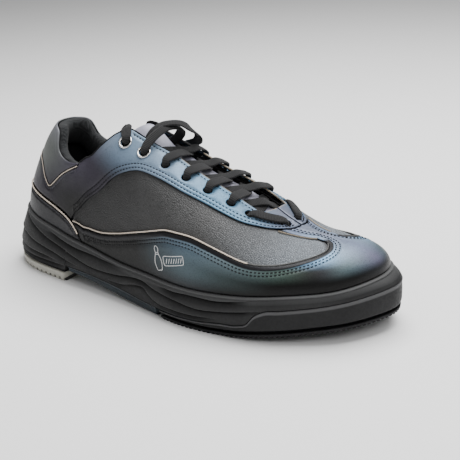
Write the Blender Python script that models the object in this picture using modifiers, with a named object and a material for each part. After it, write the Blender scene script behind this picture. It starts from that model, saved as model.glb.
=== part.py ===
"""Right-foot performance bowling shoe: lace-up upper on a moulded sole with removable pads.

Frame: +X towards the toe, +Y towards the inner (medial) side, +Z up, origin on the floor in the
middle of the sole's bounding box.  Design values are in millimetres and become metres in `place`.
"""
import math

import bmesh
import bpy
import numpy as np
from mathutils import Matrix, Vector

# ---------------------------------------------------------------- driving dimensions (mm)
MM = 0.001
CENTRE_X = 152.2
CENTRE_Y = -1.1
STATIONS = 22            # design points round the shoe: 0 heel, 11 toe, outer side first
HALF = STATIONS // 2

# plan of the sole where it meets the floor, from the heel along the outer side to the toe and back
GROUND = [(0, 0), (5.5, -17.3), (26, -30.3), (60, -36.7), (100, -40.5), (140, -46.4), (180, -54.2),
          (210, -54.1), (240, -51), (267, -39.3), (290, -21.8), (304.5, 6), (297, 28), (275, 43),
          (245, 50), (215, 52), (180, 45), (140, 35), (100, 32), (60, 34), (25, 31), (6, 17)]
# plan of the seam between the upper and the midsole, at the same stations
SEAM = [(13, 0), (19, -17), (37, -28.5), (66, -34), (103, -38.5), (142, -44.5), (181, -51.5),
        (210, -52), (238, -48.5), (264, -38.5), (286, -21.5), (297, 4), (291, 26), (271, 40),
        (243, 47.5), (214, 49.5), (180, 43), (141, 33), (103, 29.5), (66, 30), (36, 27), (19, 16)]
SEAM_HEIGHT = [(13, 46), (36, 42), (54, 39), (76, 34.6), (100, 31), (122, 28), (157, 27),
               (200, 27), (229, 29), (257, 32), (280, 34), (297, 37)]
RIDGE_HEIGHT = [(94, 146), (110, 127), (125, 116.5), (142, 108.5), (160, 100), (180, 90),
                (200, 81.5), (216, 72.5), (230, 64), (245, 57.5), (262, 55.5), (280, 56), (297, 57)]
RIDGE_MIDDLE = 172.0     # the ridge that all cross-sections climb to runs from 94 to 250
RIDGE_REACH = 78.0
RIDGE_SIDE = [(94, 0), (120, 0), (170, 1), (220, 4), (250, 5)]
FULLNESS_OUTER = [(13, 1.4), (60, 1.55), (110, 2.3), (150, 2.8), (200, 2.75), (240, 2.6), (297, 2.4)]
FULLNESS_INNER = [(13, 1.4), (60, 1.55), (110, 1.85), (150, 1.85), (200, 1.8), (240, 1.8), (297, 2.1)]

# layers of the upper, depth below its outer surface
OUTER = (0.0, 1.0)
INLAY = (1.5, 2.1)
STIFFENER = (2.5, 3.0)
LINING = (3.8, 4.4)
TONGUE_SHELL = (9.8, 10.6)
TONGUE_FOAM = (11.0, 13.2)
TONGUE_LINING = (14.4, 15.1)
GAP = 0.3
NET_STEP = 0.5           # stations between the cuts of a panel's net
NET_ROWS = 10
FOOT_MIDDLE = 45.0       # a height inside the foot space all along the shoe

# seams as (station, rise): rise 0 at the midsole, 1 on the ridge
COLLAR_RIM = [(0, .52), (1, .515), (1.91, .486), (2.43, .375), (2.91, .335), (3.4, .34),
              (3.72, .391), (3.89, .513), (4.01, .654)]
EYESTAY_EDGE = [(4.12, .755), (4.7, .765), (5.2, .795), (5.8, .80), (6.5, .805), (7.2, .827)]
INLAY_TOP = [(3.34, .09), (3.67, .157), (4.04, .262), (4.31, .37), (4.52, .44), (4.83, .504),
             (5.18, .534), (5.61, .56), (6.05, .583), (6.58, .596), (7.07, .625), (7.45, .684),
             (7.83, .761), (8.6, .83), (9.6, .85)]
INLAY_BOTTOM = [(10.05, .75), (9.8, .65), (9.32, .564), (8.67, .469), (8.04, .39), (7.59, .362),
                (6.83, .358), (6.27, .355), (5.77, .319), (5.47, .27), (5.14, .218), (4.53, .143),
                (4.08, .095), (3.66, .072)]
HEEL_TOP = [(0, .12), (1, .118), (2.05, .11), (2.88, .093), (3.22, .078), (3.42, .05), (3.56, .012)]
COLLAR_POINT = [(0, .33), (1, .31), (1.7, .275), (2.2, .208), (2.43, .183), (2.58, .207),
                (2.84, .265), (3.1, .30), (3.36, .325)]
EYESTAY_FRONT = [(7.07, .64), (7.45, .70), (7.83, .785), (8.2, .90), (8.36, 1.0)]
EYELETS = [(4.27, .63), (4.72, .643), (5.19, .661), (5.6, .683), (6.06, .70), (6.62, .722), (7.1, .745)]
RING_EYELETS = 2

# sole heights
HEEL_PAD = (0.0, 6.6)
HEEL_LOOP = (6.9, 7.6)
HEEL_HOOK = (7.9, 8.6)
HEEL_STATIONS = (0.1, 3.17)
FORE_STATIONS = (5.62, 10.9)
SHANK_STATIONS = (3.3, 5.5)
TOE_SPRING = [(205, 0), (222, 1.4), (240, 3.8), (258, 5.9), (275, 8), (290, 9.6), (304.5, 11)]
FORE_PAD = (0.0, 2.4)
FORE_LOOP = (2.7, 3.3)
FORE_HOOK = (3.6, 4.2)
CUP_FLOOR = (4.5, 5.7)
MIDSOLE_FORE = 6.0
MIDSOLE_HEEL = 8.9
CUP_EDGE = [(163, 6.1), (184, 6.5), (200, 7.2), (215, 9), (228, 10.4), (234, 12.8), (238, 17.8),
            (244, 21.6), (254, 23), (275, 25.5), (291, 28), (304.5, 30.4)]
SHANK_BOTTOM = [(70, 8.6), (91, 6.7), (111, 4.3), (127, 2.2), (144, 0.7), (162, 0.5)]
SHANK_TOP = [(70, 12.3), (92, 11.5), (114, 10), (132, 8.4), (146, 6.8), (162, 6.3)]
FOOTBED_TOP = [(13, 38), (36, 35), (60, 32), (90, 28), (120, 24.5), (160, 20.5), (200, 18.5),
               (240, 20), (270, 23.5), (297, 28)]
FOOTBED = (0.0, 4.0)     # depths below the footbed's top
BOARD = (4.3, 5.6)
SHANK_PLATE = (5.9, 6.9)
RECESS = 7.2
CUP_WALL = 2.6
RIM_LIP = 1.6
RIM_WIDTH = 8.0
END_HALF_WIDTH = 0.4

# laces and eyelets
LACE_RADIUS = 1.5
HOLE_RADIUS = 3.1
RING_OUTER = 4.6
RING_BORE = 2.4
AGLET_RADIUS = 1.3
SLOT = (7.9, .92)        # slot that the front bar of the lace comes out of
EDGE_RISE = 0.79         # where the lace passes the edge of the eyestay
OVER = 3.3               # height of the lace above the leather
UNDER = 7.3              # depth of the lace below the lining

COLOURS = {
    "leather": ((0.055, 0.08, 0.105), 0.38, 0.0),
    "pebbled": ((0.03, 0.032, 0.035), 0.6, 0.0),
    "black_leather": ((0.012, 0.013, 0.016), 0.45, 0.0),
    "textile": ((0.015, 0.015, 0.017), 0.9, 0.0),
    "pale_leather": ((0.42, 0.43, 0.5), 0.5, 0.0),
    "rubber": ((0.035, 0.036, 0.038), 0.7, 0.0),
    "shank": ((0.01, 0.025, 0.035), 0.4, 0.0),
    "grey_rubber": ((0.45, 0.44, 0.4), 0.75, 0.0),
    "board": ((0.35, 0.28, 0.2), 0.85, 0.0),
    "steel": ((0.6, 0.6, 0.6), 0.3, 1.0),
    "lace": ((0.02, 0.021, 0.024), 0.85, 0.0),
    "piping": ((0.55, 0.48, 0.4), 0.6, 0.0),
    "plastic": ((0.1, 0.1, 0.1), 0.4, 0.0),
}


# ---------------------------------------------------------------- curves and the upper's surface
def along(points, x):
    """Smooth height through (x, height) design points."""
    xs = np.array([p[0] for p in points], float)
    ys = np.array([p[1] for p in points], float)
    slopes = np.gradient(ys, xs)
    x = np.clip(x, xs[0], xs[-1])
    i = np.clip(np.searchsorted(xs, x) - 1, 0, len(xs) - 2)
    span = xs[i + 1] - xs[i]
    w = (x - xs[i]) / span
    start = (1 + 2 * w) * (1 - w) ** 2 * ys[i] + w * (1 - w) ** 2 * span * slopes[i]
    end = w * w * (3 - 2 * w) * ys[i + 1] + w * w * (w - 1) * span * slopes[i + 1]
    return start + end


def plan(points, station):
    """Smooth closed plan curve at a station number."""
    table = np.array(points, float)
    station = np.asarray(station, float) % STATIONS
    i = np.floor(station).astype(int)
    w = (station - i)[..., None]
    a, b, c, d = [table[(i + k) % STATIONS] for k in (-1, 0, 1, 2)]
    return b + 0.5 * w * ((c - a) + w * ((2 * a - 5 * b + 4 * c - d) + w * (3 * (b - c) + d - a)))


def skin(station, rise):
    """Point of the upper's outer surface."""
    station = np.asarray(station, float)
    foot = plan(SEAM, station)
    x, y = foot[..., 0], foot[..., 1]
    along_shoe = (x + plan(SEAM, STATIONS - station)[..., 0]) / 2
    turn = np.clip((along_shoe - 155) / 142, -1, 1)
    ridge_x = RIDGE_MIDDLE + RIDGE_REACH * np.sin(np.pi / 2 * turn)
    ridge_y = along(RIDGE_SIDE, ridge_x)
    inner = 0.5 + 0.5 * np.clip((y - ridge_y) / 25, -1, 1)
    inner = inner * inner * (3 - 2 * inner)
    power = along(FULLNESS_OUTER, x) * (1 - inner) + along(FULLNESS_INNER, x) * inner
    angle = np.clip(rise, 0, 1) * np.pi / 2
    across, up = np.cos(angle), np.sin(angle)
    size = (across ** power + up ** power) ** (-1 / power)
    px = ridge_x + (x - ridge_x) * across * size
    py = ridge_y + (y - ridge_y) * across * size
    low = along(SEAM_HEIGHT, x)
    pz = low + (along(RIDGE_HEIGHT, px) - low) * up * size
    return np.stack([px, py, pz], -1)


def outward(station, rise):
    """Unit normal of the upper's outer surface."""
    step_s, step_r = 0.02, 0.004
    rise = np.clip(rise, 0.002, 0.99)
    ds = skin(station + step_s, rise) - skin(station - step_s, rise)
    dr = skin(station, rise + step_r) - skin(station, rise - step_r)
    normal = np.cross(ds, dr)
    normal = normal / np.linalg.norm(normal, axis=-1, keepdims=True)
    blend = np.clip((rise - 0.85) / 0.13, 0, 1)[..., None]
    normal = normal * (1 - blend) + ridge_normal(skin(station, rise)[..., 0]) * blend
    return normal / np.linalg.norm(normal, axis=-1, keepdims=True)


def ridge_normal(x):
    """Normal along the ridge, where the two sides meet."""
    slope = (along(RIDGE_HEIGHT, x + 2) - along(RIDGE_HEIGHT, x - 2)) / 4
    size = np.sqrt(1 + slope ** 2)
    return np.stack([-slope / size, 0 * slope, 1 / size], -1)


def under(station, rise, depth):
    """Point at a depth below the upper's outer surface."""
    station = np.asarray(station, float)
    rise = np.asarray(rise, float)
    return skin(station, rise) - outward(station, rise) * depth


def smooth(points, per_span=2):
    """More points on a smooth open curve through design points."""
    table = np.array(points, float)
    padded = np.vstack([2 * table[0] - table[1], table, 2 * table[-1] - table[-2]])
    out = []
    for i in range(1, len(table)):
        a, b, c, d = padded[i - 1:i + 3]
        for w in np.arange(per_span) / per_span:
            out.append(b + 0.5 * w * ((c - a) + w * ((2 * a - 5 * b + 4 * c - d)
                                                     + w * (3 * (b - c) + d - a))))
    out.append(table[-1])
    return [tuple(p) for p in out]


def inner_side(points):
    """The same seam on the inner side, walked the other way."""
    return [(STATIONS - s, r) for s, r in reversed(points)]


def raised(points, amount):
    return [(s, r + amount) for s, r in points]


# ---------------------------------------------------------------- objects
def start_scene():
    for thing in list(bpy.data.objects):
        bpy.data.objects.remove(thing, do_unlink=True)
    groups = {}
    for name in ("bowling_shoe", "cutters"):
        groups[name] = bpy.data.collections.new(name)
        bpy.context.scene.collection.children.link(groups[name])
    return groups


def material(name):
    found = bpy.data.materials.get(name)
    if found:
        return found
    colour, roughness, metallic = COLOURS[name]
    made = bpy.data.materials.new(name)
    made.use_nodes = True
    shader = made.node_tree.nodes["Principled BSDF"]
    shader.inputs["Base Color"].default_value = (*colour, 1)
    shader.inputs["Roughness"].default_value = roughness
    shader.inputs["Metallic"].default_value = metallic
    return made


def place(point):
    """Design point in millimetres to world metres."""
    return Vector(((point[0] - CENTRE_X) * MM, (point[1] - CENTRE_Y) * MM, point[2] * MM))


def add_object(name, data, surface, group):
    thing = bpy.data.objects.new(name, data)
    group.objects.link(thing)
    if surface:
        data.materials.append(material(surface))
    return thing


def mesh_object(name, bm, surface, group, angle=35):
    bmesh.ops.recalc_face_normals(bm, faces=bm.faces)
    mesh = bpy.data.meshes.new(name)
    bm.to_mesh(mesh)
    bm.free()
    mesh.shade_smooth()
    mesh.set_sharp_from_angle(angle=math.radians(angle))
    return add_object(name, mesh, surface, group)


def panel(name, outlines, layer, surface, group, holes=None, weld=False):
    """A piece of the upper: outlines on its surface, cut into a net, thickened inwards.

    Outlines on the two sides that reach the ridge (rise 1) are welded there."""
    bm = bmesh.new()
    for outline in outlines:
        bm.faces.new([bm.verts.new((s, r, 0)) for s, r in outline])
    stations = [p[0] for outline in outlines for p in outline]
    first, last = min(stations), max(stations)
    for k in range(math.floor(first / NET_STEP), math.ceil(last / NET_STEP) + 1):
        cut_net(bm, (k * NET_STEP, 0, 0), (1, 0, 0))
    for k in range(1, NET_ROWS):
        cut_net(bm, (0, k / NET_ROWS, 0), (0, 1, 0))
    places = np.array([v.co[:2] for v in bm.verts])
    points = under(places[:, 0], places[:, 1], layer[0])
    for vert, point in zip(bm.verts, points):
        vert.co = place(point)
    if weld:
        bmesh.ops.remove_doubles(bm, verts=bm.verts, dist=0.00005)
    bmesh.ops.dissolve_degenerate(bm, edges=bm.edges, dist=0.00005)
    thing = mesh_object(name, bm, surface, group)
    face_outwards(thing.data)
    shell = thing.modifiers.new("thickness", 'SOLIDIFY')
    shell.thickness = (layer[1] - layer[0]) * MM
    shell.offset = -1
    if holes:
        cut = thing.modifiers.new("eyelet holes", 'BOOLEAN')
        cut.object = holes
        cut.operation = 'DIFFERENCE'
    return thing


def cut_net(bm, point, normal):
    everything = bm.verts[:] + bm.edges[:] + bm.faces[:]
    bmesh.ops.bisect_plane(bm, geom=everything, plane_co=point, plane_no=normal, dist=1e-6)


def face_outwards(mesh):
    """Turn an open piece so that its faces point away from the foot."""
    facing = 0.0
    for face in mesh.polygons:
        inside = place((face.center.x / MM + CENTRE_X, 2, FOOT_MIDDLE))
        facing += face.area * face.normal.dot(face.center - inside)
    if facing < 0:
        mesh.flip_normals()


def loft(name, frames, surface, group, angle=30):
    """Closed solid through a row of cross-sections that have the same number of corners."""
    bm = bmesh.new()
    rings = [[bm.verts.new(place(p)) for p in frame] for frame in frames]
    count = len(rings[0])
    for back, front in zip(rings, rings[1:]):
        for k in range(count):
            after = (k + 1) % count
            bm.faces.new((back[k], back[after], front[after], front[k]))
    bm.faces.new(rings[0])
    bm.faces.new(list(reversed(rings[-1])))
    return mesh_object(name, bm, surface, group, angle)


def rungs(first, last):
    """Stations for a sole loft, closer together at the two round ends."""
    ends = [0.1, 0.25, 0.45, 0.7, 1.0, 1.5]
    inner = [2 + 0.5 * k for k in range(15)]
    wanted = ends + inner + [HALF - e for e in reversed(ends)]
    kept = [s for s in wanted if first + 0.05 < s < last - 0.05]
    return [first] + kept + [last]


def pair(points, station, inset=0.0):
    """Outer and inner plan points at a station, moved in towards the middle of the sole."""
    both = []
    for side in (station, STATIONS - station):
        here = plan(points, side)
        ahead = plan(points, side + 0.02) - plan(points, side - 0.02)
        inward = np.array([-ahead[1], ahead[0]]) / np.linalg.norm(ahead)
        both.append(here + inward * inset)
    if both[1][1] - both[0][1] < 2 * END_HALF_WIDTH:
        middle = (both[0] + both[1]) / 2
        both = [middle + (0, -END_HALF_WIDTH), middle + (0, END_HALF_WIDTH)]
    return both


def is_closed(both):
    """Whether the two sides of a wall have met at a round end of the sole."""
    return both[1][1] - both[0][1] < 2 * END_HALF_WIDTH + 0.01


def spring(x):
    return float(along(TOE_SPRING, x))


def slab(name, stations, bottom, top, surface, group, inset=0.0, plan_points=GROUND):
    """A flat layer of the sole between two heights given as functions of x."""
    frames = []
    for s in rungs(*stations):
        outer, inner = pair(plan_points, s, inset)
        frames.append([(*outer, bottom(outer[0])), (*outer, top(outer[0])),
                       (*inner, top(inner[0])), (*inner, bottom(inner[0]))])
    return loft(name, frames, surface, group)


# ---------------------------------------------------------------- sole
def make_removable_pads(group):
    heel_layers = (("heel_pad", HEEL_PAD, "grey_rubber", 0.0), ("heel_loop_layer", HEEL_LOOP, "textile", 1.5),
                   ("heel_hook_panel", HEEL_HOOK, "textile", 1.5))
    for name, (low, high), surface, inset in heel_layers:
        slab(name, HEEL_STATIONS, lambda x, z=low: z, lambda x, z=high: z, surface, group, inset)
    fore_layers = (("forefoot_sole_pad", FORE_PAD, "rubber", 0.6),
                   ("forefoot_loop_layer", FORE_LOOP, "textile", 3.0),
                   ("forefoot_hook_panel", FORE_HOOK, "textile", 3.0))
    for name, (low, high), surface, inset in fore_layers:
        slab(name, FORE_STATIONS, lambda x, z=low: z + spring(x), lambda x, z=high: z + spring(x),
             surface, group, inset)


def make_shank_outsole(group):
    slab("shank_outsole", SHANK_STATIONS, lambda x: float(along(SHANK_BOTTOM, x)),
         lambda x: float(along(SHANK_TOP, x)), "shank", group, inset=1.0)


def make_forefoot_cup(group):
    """Tray of rubber whose wall climbs round the toe."""
    frames = []
    for s in rungs(*FORE_STATIONS):
        outer, inner = pair(GROUND, s)
        walls = []
        insides = pair(GROUND, s, CUP_WALL)
        closed = is_closed(insides)
        for edge_point, inside in zip((outer, inner), insides):
            low, high = [z + spring(edge_point[0]) for z in CUP_FLOOR]
            edge = max(float(along(CUP_EDGE, edge_point[0])), high + 0.2)
            high = edge if closed else high
            walls.append([(*edge_point, low), (*edge_point, edge), (*inside, edge), (*inside, high)])
        frames.append(walls[0] + list(reversed(walls[1])))
    loft("forefoot_cup", frames, "rubber", group)


def midsole_floor(x):
    """Underside of the midsole: over the heel pad, the shank and the forefoot cup."""
    over_shank = float(along(SHANK_TOP, x)) + GAP
    over_fore = MIDSOLE_FORE + spring(x)
    if x < 69:
        return MIDSOLE_HEEL
    if x < 163:
        return over_shank
    return over_fore


def midsole_stations():
    wanted = rungs(0.1, 10.9)
    steps = [3.19, 3.24, 5.53, 5.58]
    return sorted(wanted + steps)


def midsole_wall(s, cup):
    """Outer and inner side points, from the floor up to the rim, at a station."""
    low = pair(GROUND, s, CUP_WALL + GAP if cup else 0.0)
    waist = pair(GROUND, s, 0.0)
    lip = pair(SEAM, s, -RIM_LIP)
    rim = pair(SEAM, s, RIM_WIDTH)
    sides = []
    for k in range(2):
        x = low[k][0]
        floor = midsole_floor(x)
        top = float(along(SEAM_HEIGHT, plan(SEAM, s if k == 0 else STATIONS - s)[0]))
        edge = float(along(CUP_EDGE, waist[k][0])) + GAP + 0.3 if cup else floor + 1.5
        edge = max(edge, floor + 0.8)
        middle = waist[k] * 0.5 + lip[k] * 0.5
        middle_height = max(edge + 1.0, floor * 0.4 + top * 0.6)
        recess = top if is_closed(rim) else float(along(FOOTBED_TOP, rim[k][0])) - RECESS
        sides.append([(*rim[k], recess), (*rim[k], top), (*lip[k], top), (*middle, middle_height),
                      (*waist[k], edge), (*low[k], edge), (*low[k], floor)])
    return sides


def make_midsole(group):
    """Moulded body with a recess for the footbed and a rim that the upper stands on."""
    frames = []
    for s in midsole_stations():
        outer, inner = midsole_wall(s, cup=s > 5.55)
        frames.append(outer + list(reversed(inner)))
    loft("midsole", frames, "rubber", group)


def make_inside_of_sole(group):
    layers = (("footbed", FOOTBED, "textile", RIM_WIDTH + 0.5, (0.9, 10.1)),
              ("insole_board", BOARD, "board", RIM_WIDTH + 0.5, (0.9, 10.1)),
              ("shank_plate", SHANK_PLATE, "steel", RIM_WIDTH + 16, (2.9, 5.6)))
    for name, (top, bottom), surface, inset, stations in layers:
        slab(name, stations, lambda x, d=bottom: float(along(FOOTBED_TOP, x)) - d,
             lambda x, d=top: float(along(FOOTBED_TOP, x)) - d, surface, group, inset, SEAM)


# ---------------------------------------------------------------- upper
def spread(start, end, count):
    """Straight run of outline points, without its last one."""
    return [tuple(np.array(start) + (np.array(end) - np.array(start)) * k / count) for k in range(count)]


def both_sides(curve_points):
    """A seam that runs from the outer side round the heel to the inner side."""
    dense = smooth(curve_points)
    inner_part = [(-s, r) for s, r in reversed(dense[1:])]
    return inner_part + dense


def make_linings(group, holes):
    """Textile lining in four pieces: toe box, two quarters and heel."""
    foot = 0.02
    heel_end, throat = 3.3, 7.32
    rim = [p for p in smooth(raised(COLLAR_RIM, -0.012)) if p[0] < heel_end]
    heel_rim = [(-s, r) for s, r in reversed(rim[1:])] + rim
    heel = spread((heel_end - 0.02, foot), (-heel_end + 0.02, foot), 14) + [(-heel_end + 0.02, foot)]
    panel("heel_lining", [heel + heel_rim], LINING, "textile", group)
    quarter = (spread((heel_end + 0.02, foot), (throat - 0.03, foot), 8)
               + spread((throat - 0.03, foot), (throat - 0.03, 0.80), 4)
               + [p for p in reversed(smooth(raised(EYESTAY_EDGE, -0.02))) if p[0] < throat - 0.05]
               + [p for p in reversed(smooth(raised(COLLAR_RIM, -0.012))) if p[0] > heel_end + 0.05]
               + [(heel_end + 0.02, 0.328)])
    for side, outline in (("lateral", quarter), ("medial", inner_side(quarter))):
        panel(f"quarter_lining_{side}", [outline], LINING, "textile", group, holes)
    back = throat + 0.03
    half = (spread((HALF, foot), (back, foot), 9) + spread((back, foot), (back, 0.79), 6)
            + spread((back, 0.79), (8.3, 0.80), 4) + [(8.3, 0.80), (8.3, 1.0)])
    vamp = outline_from_half(half)
    panel("vamp_lining", [vamp], LINING, "textile", group, weld=True)


def outline_from_half(half):
    """Closed outline from its outer half, which starts at the toe's foot and ends on the ridge."""
    return half + [(STATIONS - s, r) for s, r in reversed(half[1:])]


def make_outer_panels(group, holes):
    """Vamp, quarters, collar and heel counter leather, with the pebbled inlays below them."""
    foot = 0.016
    split = 0.01
    inlay_low = smooth(raised(INLAY_BOTTOM, -split))
    inlay_high = smooth(raised(INLAY_TOP, split))
    make_vamp(group, foot, inlay_low, inlay_high)
    make_quarters(group, holes, inlay_high)
    heel_line = smooth(raised(HEEL_TOP, -split))
    heel = [(-s, r) for s, r in reversed(heel_line[1:])] + heel_line
    bottom = spread((3.56, 0.002), (-3.56, 0.002), 14)[1:]
    panel("heel_counter_panel", [bottom + heel], OUTER, "black_leather", group)
    make_collar_panel(group)
    make_inlays(group)


def make_vamp(group, foot, inlay_low, inlay_high):
    """Lower leather from the arch round the toe, with a strip up to the throat between the inlays."""
    tip = [(10.02, .80)]
    outer_edge = [(3.72, 0.055)] + [p for p in reversed(inlay_low)] + tip
    front = [p for p in reversed(inlay_high) if p[0] > 7.9]
    throat = [(s + 0.06, r) for s, r in smooth(EYESTAY_FRONT) if s > 7.9]
    outer_half = [(3.64, foot)] + outer_edge + front + throat
    inner_half = inner_side(outer_half)
    crossing = [(p[0], 1.0) for p in (outer_half[-1], inner_half[0])]
    outer_half[-1], inner_half[0] = crossing
    bottom = spread(inner_half[-1], outer_half[0], 24)[1:]
    panel("vamp_panel", [outer_half + inner_half + bottom], OUTER, "leather", group, weld=True)


def make_quarters(group, holes, inlay_high):
    """Eyestay and quarter leather of each side, up to the collar and round the throat."""
    back = 0.04
    heel_line = [p for p in smooth(raised(HEEL_TOP, 0.01)) if back < p[0] < 3.3]
    low = [p for p in inlay_high if 3.4 < p[0] < 7.3]
    front = [p for p in smooth(EYESTAY_FRONT) if p[0] > 7.4]
    edge = list(reversed(smooth(EYESTAY_EDGE)))
    rim = [p for p in reversed(smooth(COLLAR_RIM)) if p[0] > 3.45]
    collar = list(reversed(smooth(raised(COLLAR_POINT, -0.012))))
    collar = [p for p in collar if p[0] > back]
    throat_middle = [(8.34, 0.995), (7.26, 0.995)]
    outer = [(back, .13)] + heel_line + low + front[:-1] + throat_middle + edge + rim + collar
    outer += [(back, .318)]
    panel("quarter_lateral", [outer], OUTER, "leather", group, holes)
    panel("quarter_medial", [inner_side(outer)], OUTER, "leather", group, holes)


def make_collar_panel(group):
    rim = [p for p in smooth(COLLAR_RIM) if p[0] < 3.36]
    low = smooth(COLLAR_POINT)
    outline = ([(-s, r) for s, r in reversed(rim[1:])] + rim + list(reversed(low))
               + [(-s, r) for s, r in low[1:]])
    panel("collar_panel", [outline], OUTER, "leather", group)


def make_inlays(group):
    margin = 0.035
    top = smooth(raised(INLAY_TOP, margin))
    bottom = smooth(raised(INLAY_BOTTOM, -margin))
    outline = [(s, max(r, 0.02)) for s, r in top + bottom]
    panel("inlay_lateral", [outline], INLAY, "pebbled", group)
    panel("inlay_medial", [inner_side(outline)], INLAY, "pebbled", group)


def make_stiffeners(group, holes):
    """Stiff pieces hidden between leather and lining."""
    toe = [(9.4, .04)] + spread((9.4, .04), (12.6, .04), 10)[1:] + [(12.6, .04)]
    toe += spread((12.6, .62), (9.4, .62), 10) + [(9.4, .62)]
    panel("toe_puff", [toe], STIFFENER, "board", group)
    heel = spread((2.9, .03), (-2.9, .03), 12) + spread((-2.9, .03), (-2.4, .2), 3)
    heel += spread((-2.4, .2), (-1, .27), 3) + spread((-1, .27), (1, .27), 4)
    heel += spread((1, .27), (2.4, .2), 3) + [(2.4, .2)]
    panel("heel_counter_stiffener", [heel], STIFFENER, "board", group)
    edge = smooth([(4.15, .735), (4.7, .745), (5.2, .77), (5.8, .775), (6.5, .78), (6.8, .785)])
    low = smooth([(6.8, .672), (6.6, .665), (6.0, .645), (5.2, .60), (4.7, .585), (4.15, .58)])
    strip = edge + low
    panel("eyestay_tape_lateral", [strip], STIFFENER, "textile", group, holes)
    panel("eyestay_tape_medial", [inner_side(strip)], STIFFENER, "textile", group, holes)


def make_tongue(group):
    """Tongue in three layers under the lacing, sewn in under the throat."""
    base, top = 7.6, 4.0
    edge = [(base, .70), (7.0, .67), (6.0, .64), (5.0, .63), (4.4, .66), (top, .76), (3.86, .9)]
    outer = smooth(edge) + [(3.82, 1.0), (base, 1.0)]
    outlines = [outer, inner_side(outer)]
    layers = (("tongue_shell", TONGUE_SHELL, "pale_leather"), ("tongue_foam", TONGUE_FOAM, "textile"),
              ("tongue_lining", TONGUE_LINING, "textile"))
    for name, layer, surface in layers:
        panel(name, outlines, layer, surface, group, weld=True)


# ---------------------------------------------------------------- collar pad, pipings and trims
def swept(name, centres, normals, half_width, half_depth, surface, group, sides=6):
    """Rounded bar along a row of points: half_width runs across, half_depth along the normals."""
    frames = []
    centres = np.array(centres)
    for k, centre in enumerate(centres):
        ahead = centres[min(k + 1, len(centres) - 1)] - centres[max(k - 1, 0)]
        ahead = ahead / np.linalg.norm(ahead)
        across = np.cross(ahead, normals[k])
        across = across / np.linalg.norm(across)
        upright = np.cross(across, ahead)
        frame = []
        for j in range(sides):
            angle = 2 * math.pi * (j + 0.5) / sides
            sideways, upwards = half_width * math.cos(angle), half_depth * math.sin(angle)
            frame.append(centre + across * sideways + upright * upwards)
        frames.append(frame)
    return loft(name, frames, surface, group, angle=50)


def bar_on_skin(name, route, depth, half_width, half_depth, surface, group):
    stations = np.array([p[0] for p in route])
    rises = np.array([p[1] for p in route])
    swept(name, under(stations, rises, depth), outward(stations, rises), half_width, half_depth,
          surface, group)


def make_collar_pad(group):
    route = [(s, r - 0.075) for s, r in smooth(COLLAR_RIM, 2) if s < 3.8]
    ring = [(-s, r) for s, r in reversed(route[1:])] + route
    bar_on_skin("collar_foam", ring, 8.2, 8.0, 2.6, "textile", group)
    low = [(s, r - 0.05) for s, r in ring]
    bar_on_skin("collar_lining", low, 11.8, 7.0, 0.5, "textile", group)


def make_pipings(group):
    heel = both_sides([p for p in HEEL_TOP if p[0] < 3.5])
    bar_on_skin("heel_piping", heel, -0.9, 0.6, 0.5, "piping", group)
    for side, mirror in (("lateral", False), ("medial", True)):
        route = smooth(raised([p for p in INLAY_BOTTOM if p[0] < 9.0], 0.003), 2)
        route = [(STATIONS - s, r) for s, r in route] if mirror else route
        bar_on_skin(f"inlay_piping_{side}", route, 0.75, 0.45, 0.4, "piping", group)
    tab = [(s, .215) for s in (-0.5, -0.25, 0, 0.25, 0.5)]
    bar_on_skin("heel_tab", tab, -0.8, 6.0, 0.4, "piping", group)
    badge = [(s, .15) for s in (5.4, 5.6, 5.8, 6.0, 6.2)]
    bar_on_skin("emblem", badge, -0.75, 5.5, 0.4, "steel", group)


# ---------------------------------------------------------------- eyelets and lace
def eyelet_places():
    outer = EYELETS + [SLOT]
    return outer, [(STATIONS - s, r) for s, r in outer]


def frame_at(station, rise, depth=0.0):
    """World matrix whose Z axis leaves the upper at a point."""
    normal = Vector(outward(np.array(station), np.array(rise)))
    point = place(under(station, rise, depth))
    turn = normal.to_track_quat('Z', 'X').to_matrix().to_4x4()
    return Matrix.Translation(point) @ turn


def make_hole_cutter(group):
    bm = bmesh.new()
    for side in eyelet_places():
        for station, rise in side:
            bmesh.ops.create_cone(bm, cap_ends=True, segments=10, radius1=HOLE_RADIUS * MM,
                                  radius2=HOLE_RADIUS * MM, depth=16 * MM,
                                  matrix=frame_at(station, rise, 2.0))
    cutter = mesh_object("eyelet_hole_cutter", bm, None, group)
    cutter.hide_render = True
    cutter.display_type = 'WIRE'
    return cutter


def turned(name, profile, matrix, surface, group, steps=12):
    """Ring turned from an (outer side first) profile of radius and height, in millimetres."""
    mesh = bpy.data.meshes.new(name)
    verts = [(r * MM, 0, z * MM) for r, z in profile]
    edges = [(k, (k + 1) % len(profile)) for k in range(len(profile))]
    mesh.from_pydata(verts, edges, [])
    thing = add_object(name, mesh, surface, group)
    screw = thing.modifiers.new("turn", 'SCREW')
    screw.steps = steps
    screw.render_steps = steps
    screw.use_merge_vertices = True
    screw.merge_threshold = 0.00001
    thing.matrix_world = matrix
    return thing


def make_eyelet_rings(group):
    barrel = HOLE_RADIUS - GAP
    grommet = [(RING_OUTER, 0.9), (RING_OUTER, 0.3), (barrel, 0.3), (barrel, -5.7), (RING_BORE, -5.7),
               (RING_BORE, 0.7), (3.4, 1.1)]
    washer = [(4.0, -5.3), (4.0, -5.7), (barrel + GAP, -5.7), (barrel + GAP, -5.3)]
    for side, places in zip(("lateral", "medial"), eyelet_places()):
        for k in range(RING_EYELETS):
            turned(f"eyelet_ring_{side}_{k + 1}", grommet, frame_at(*places[k]), "steel", group)
            turned(f"eyelet_washer_{side}_{k + 1}", washer, frame_at(*places[k]), "steel", group)


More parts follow.
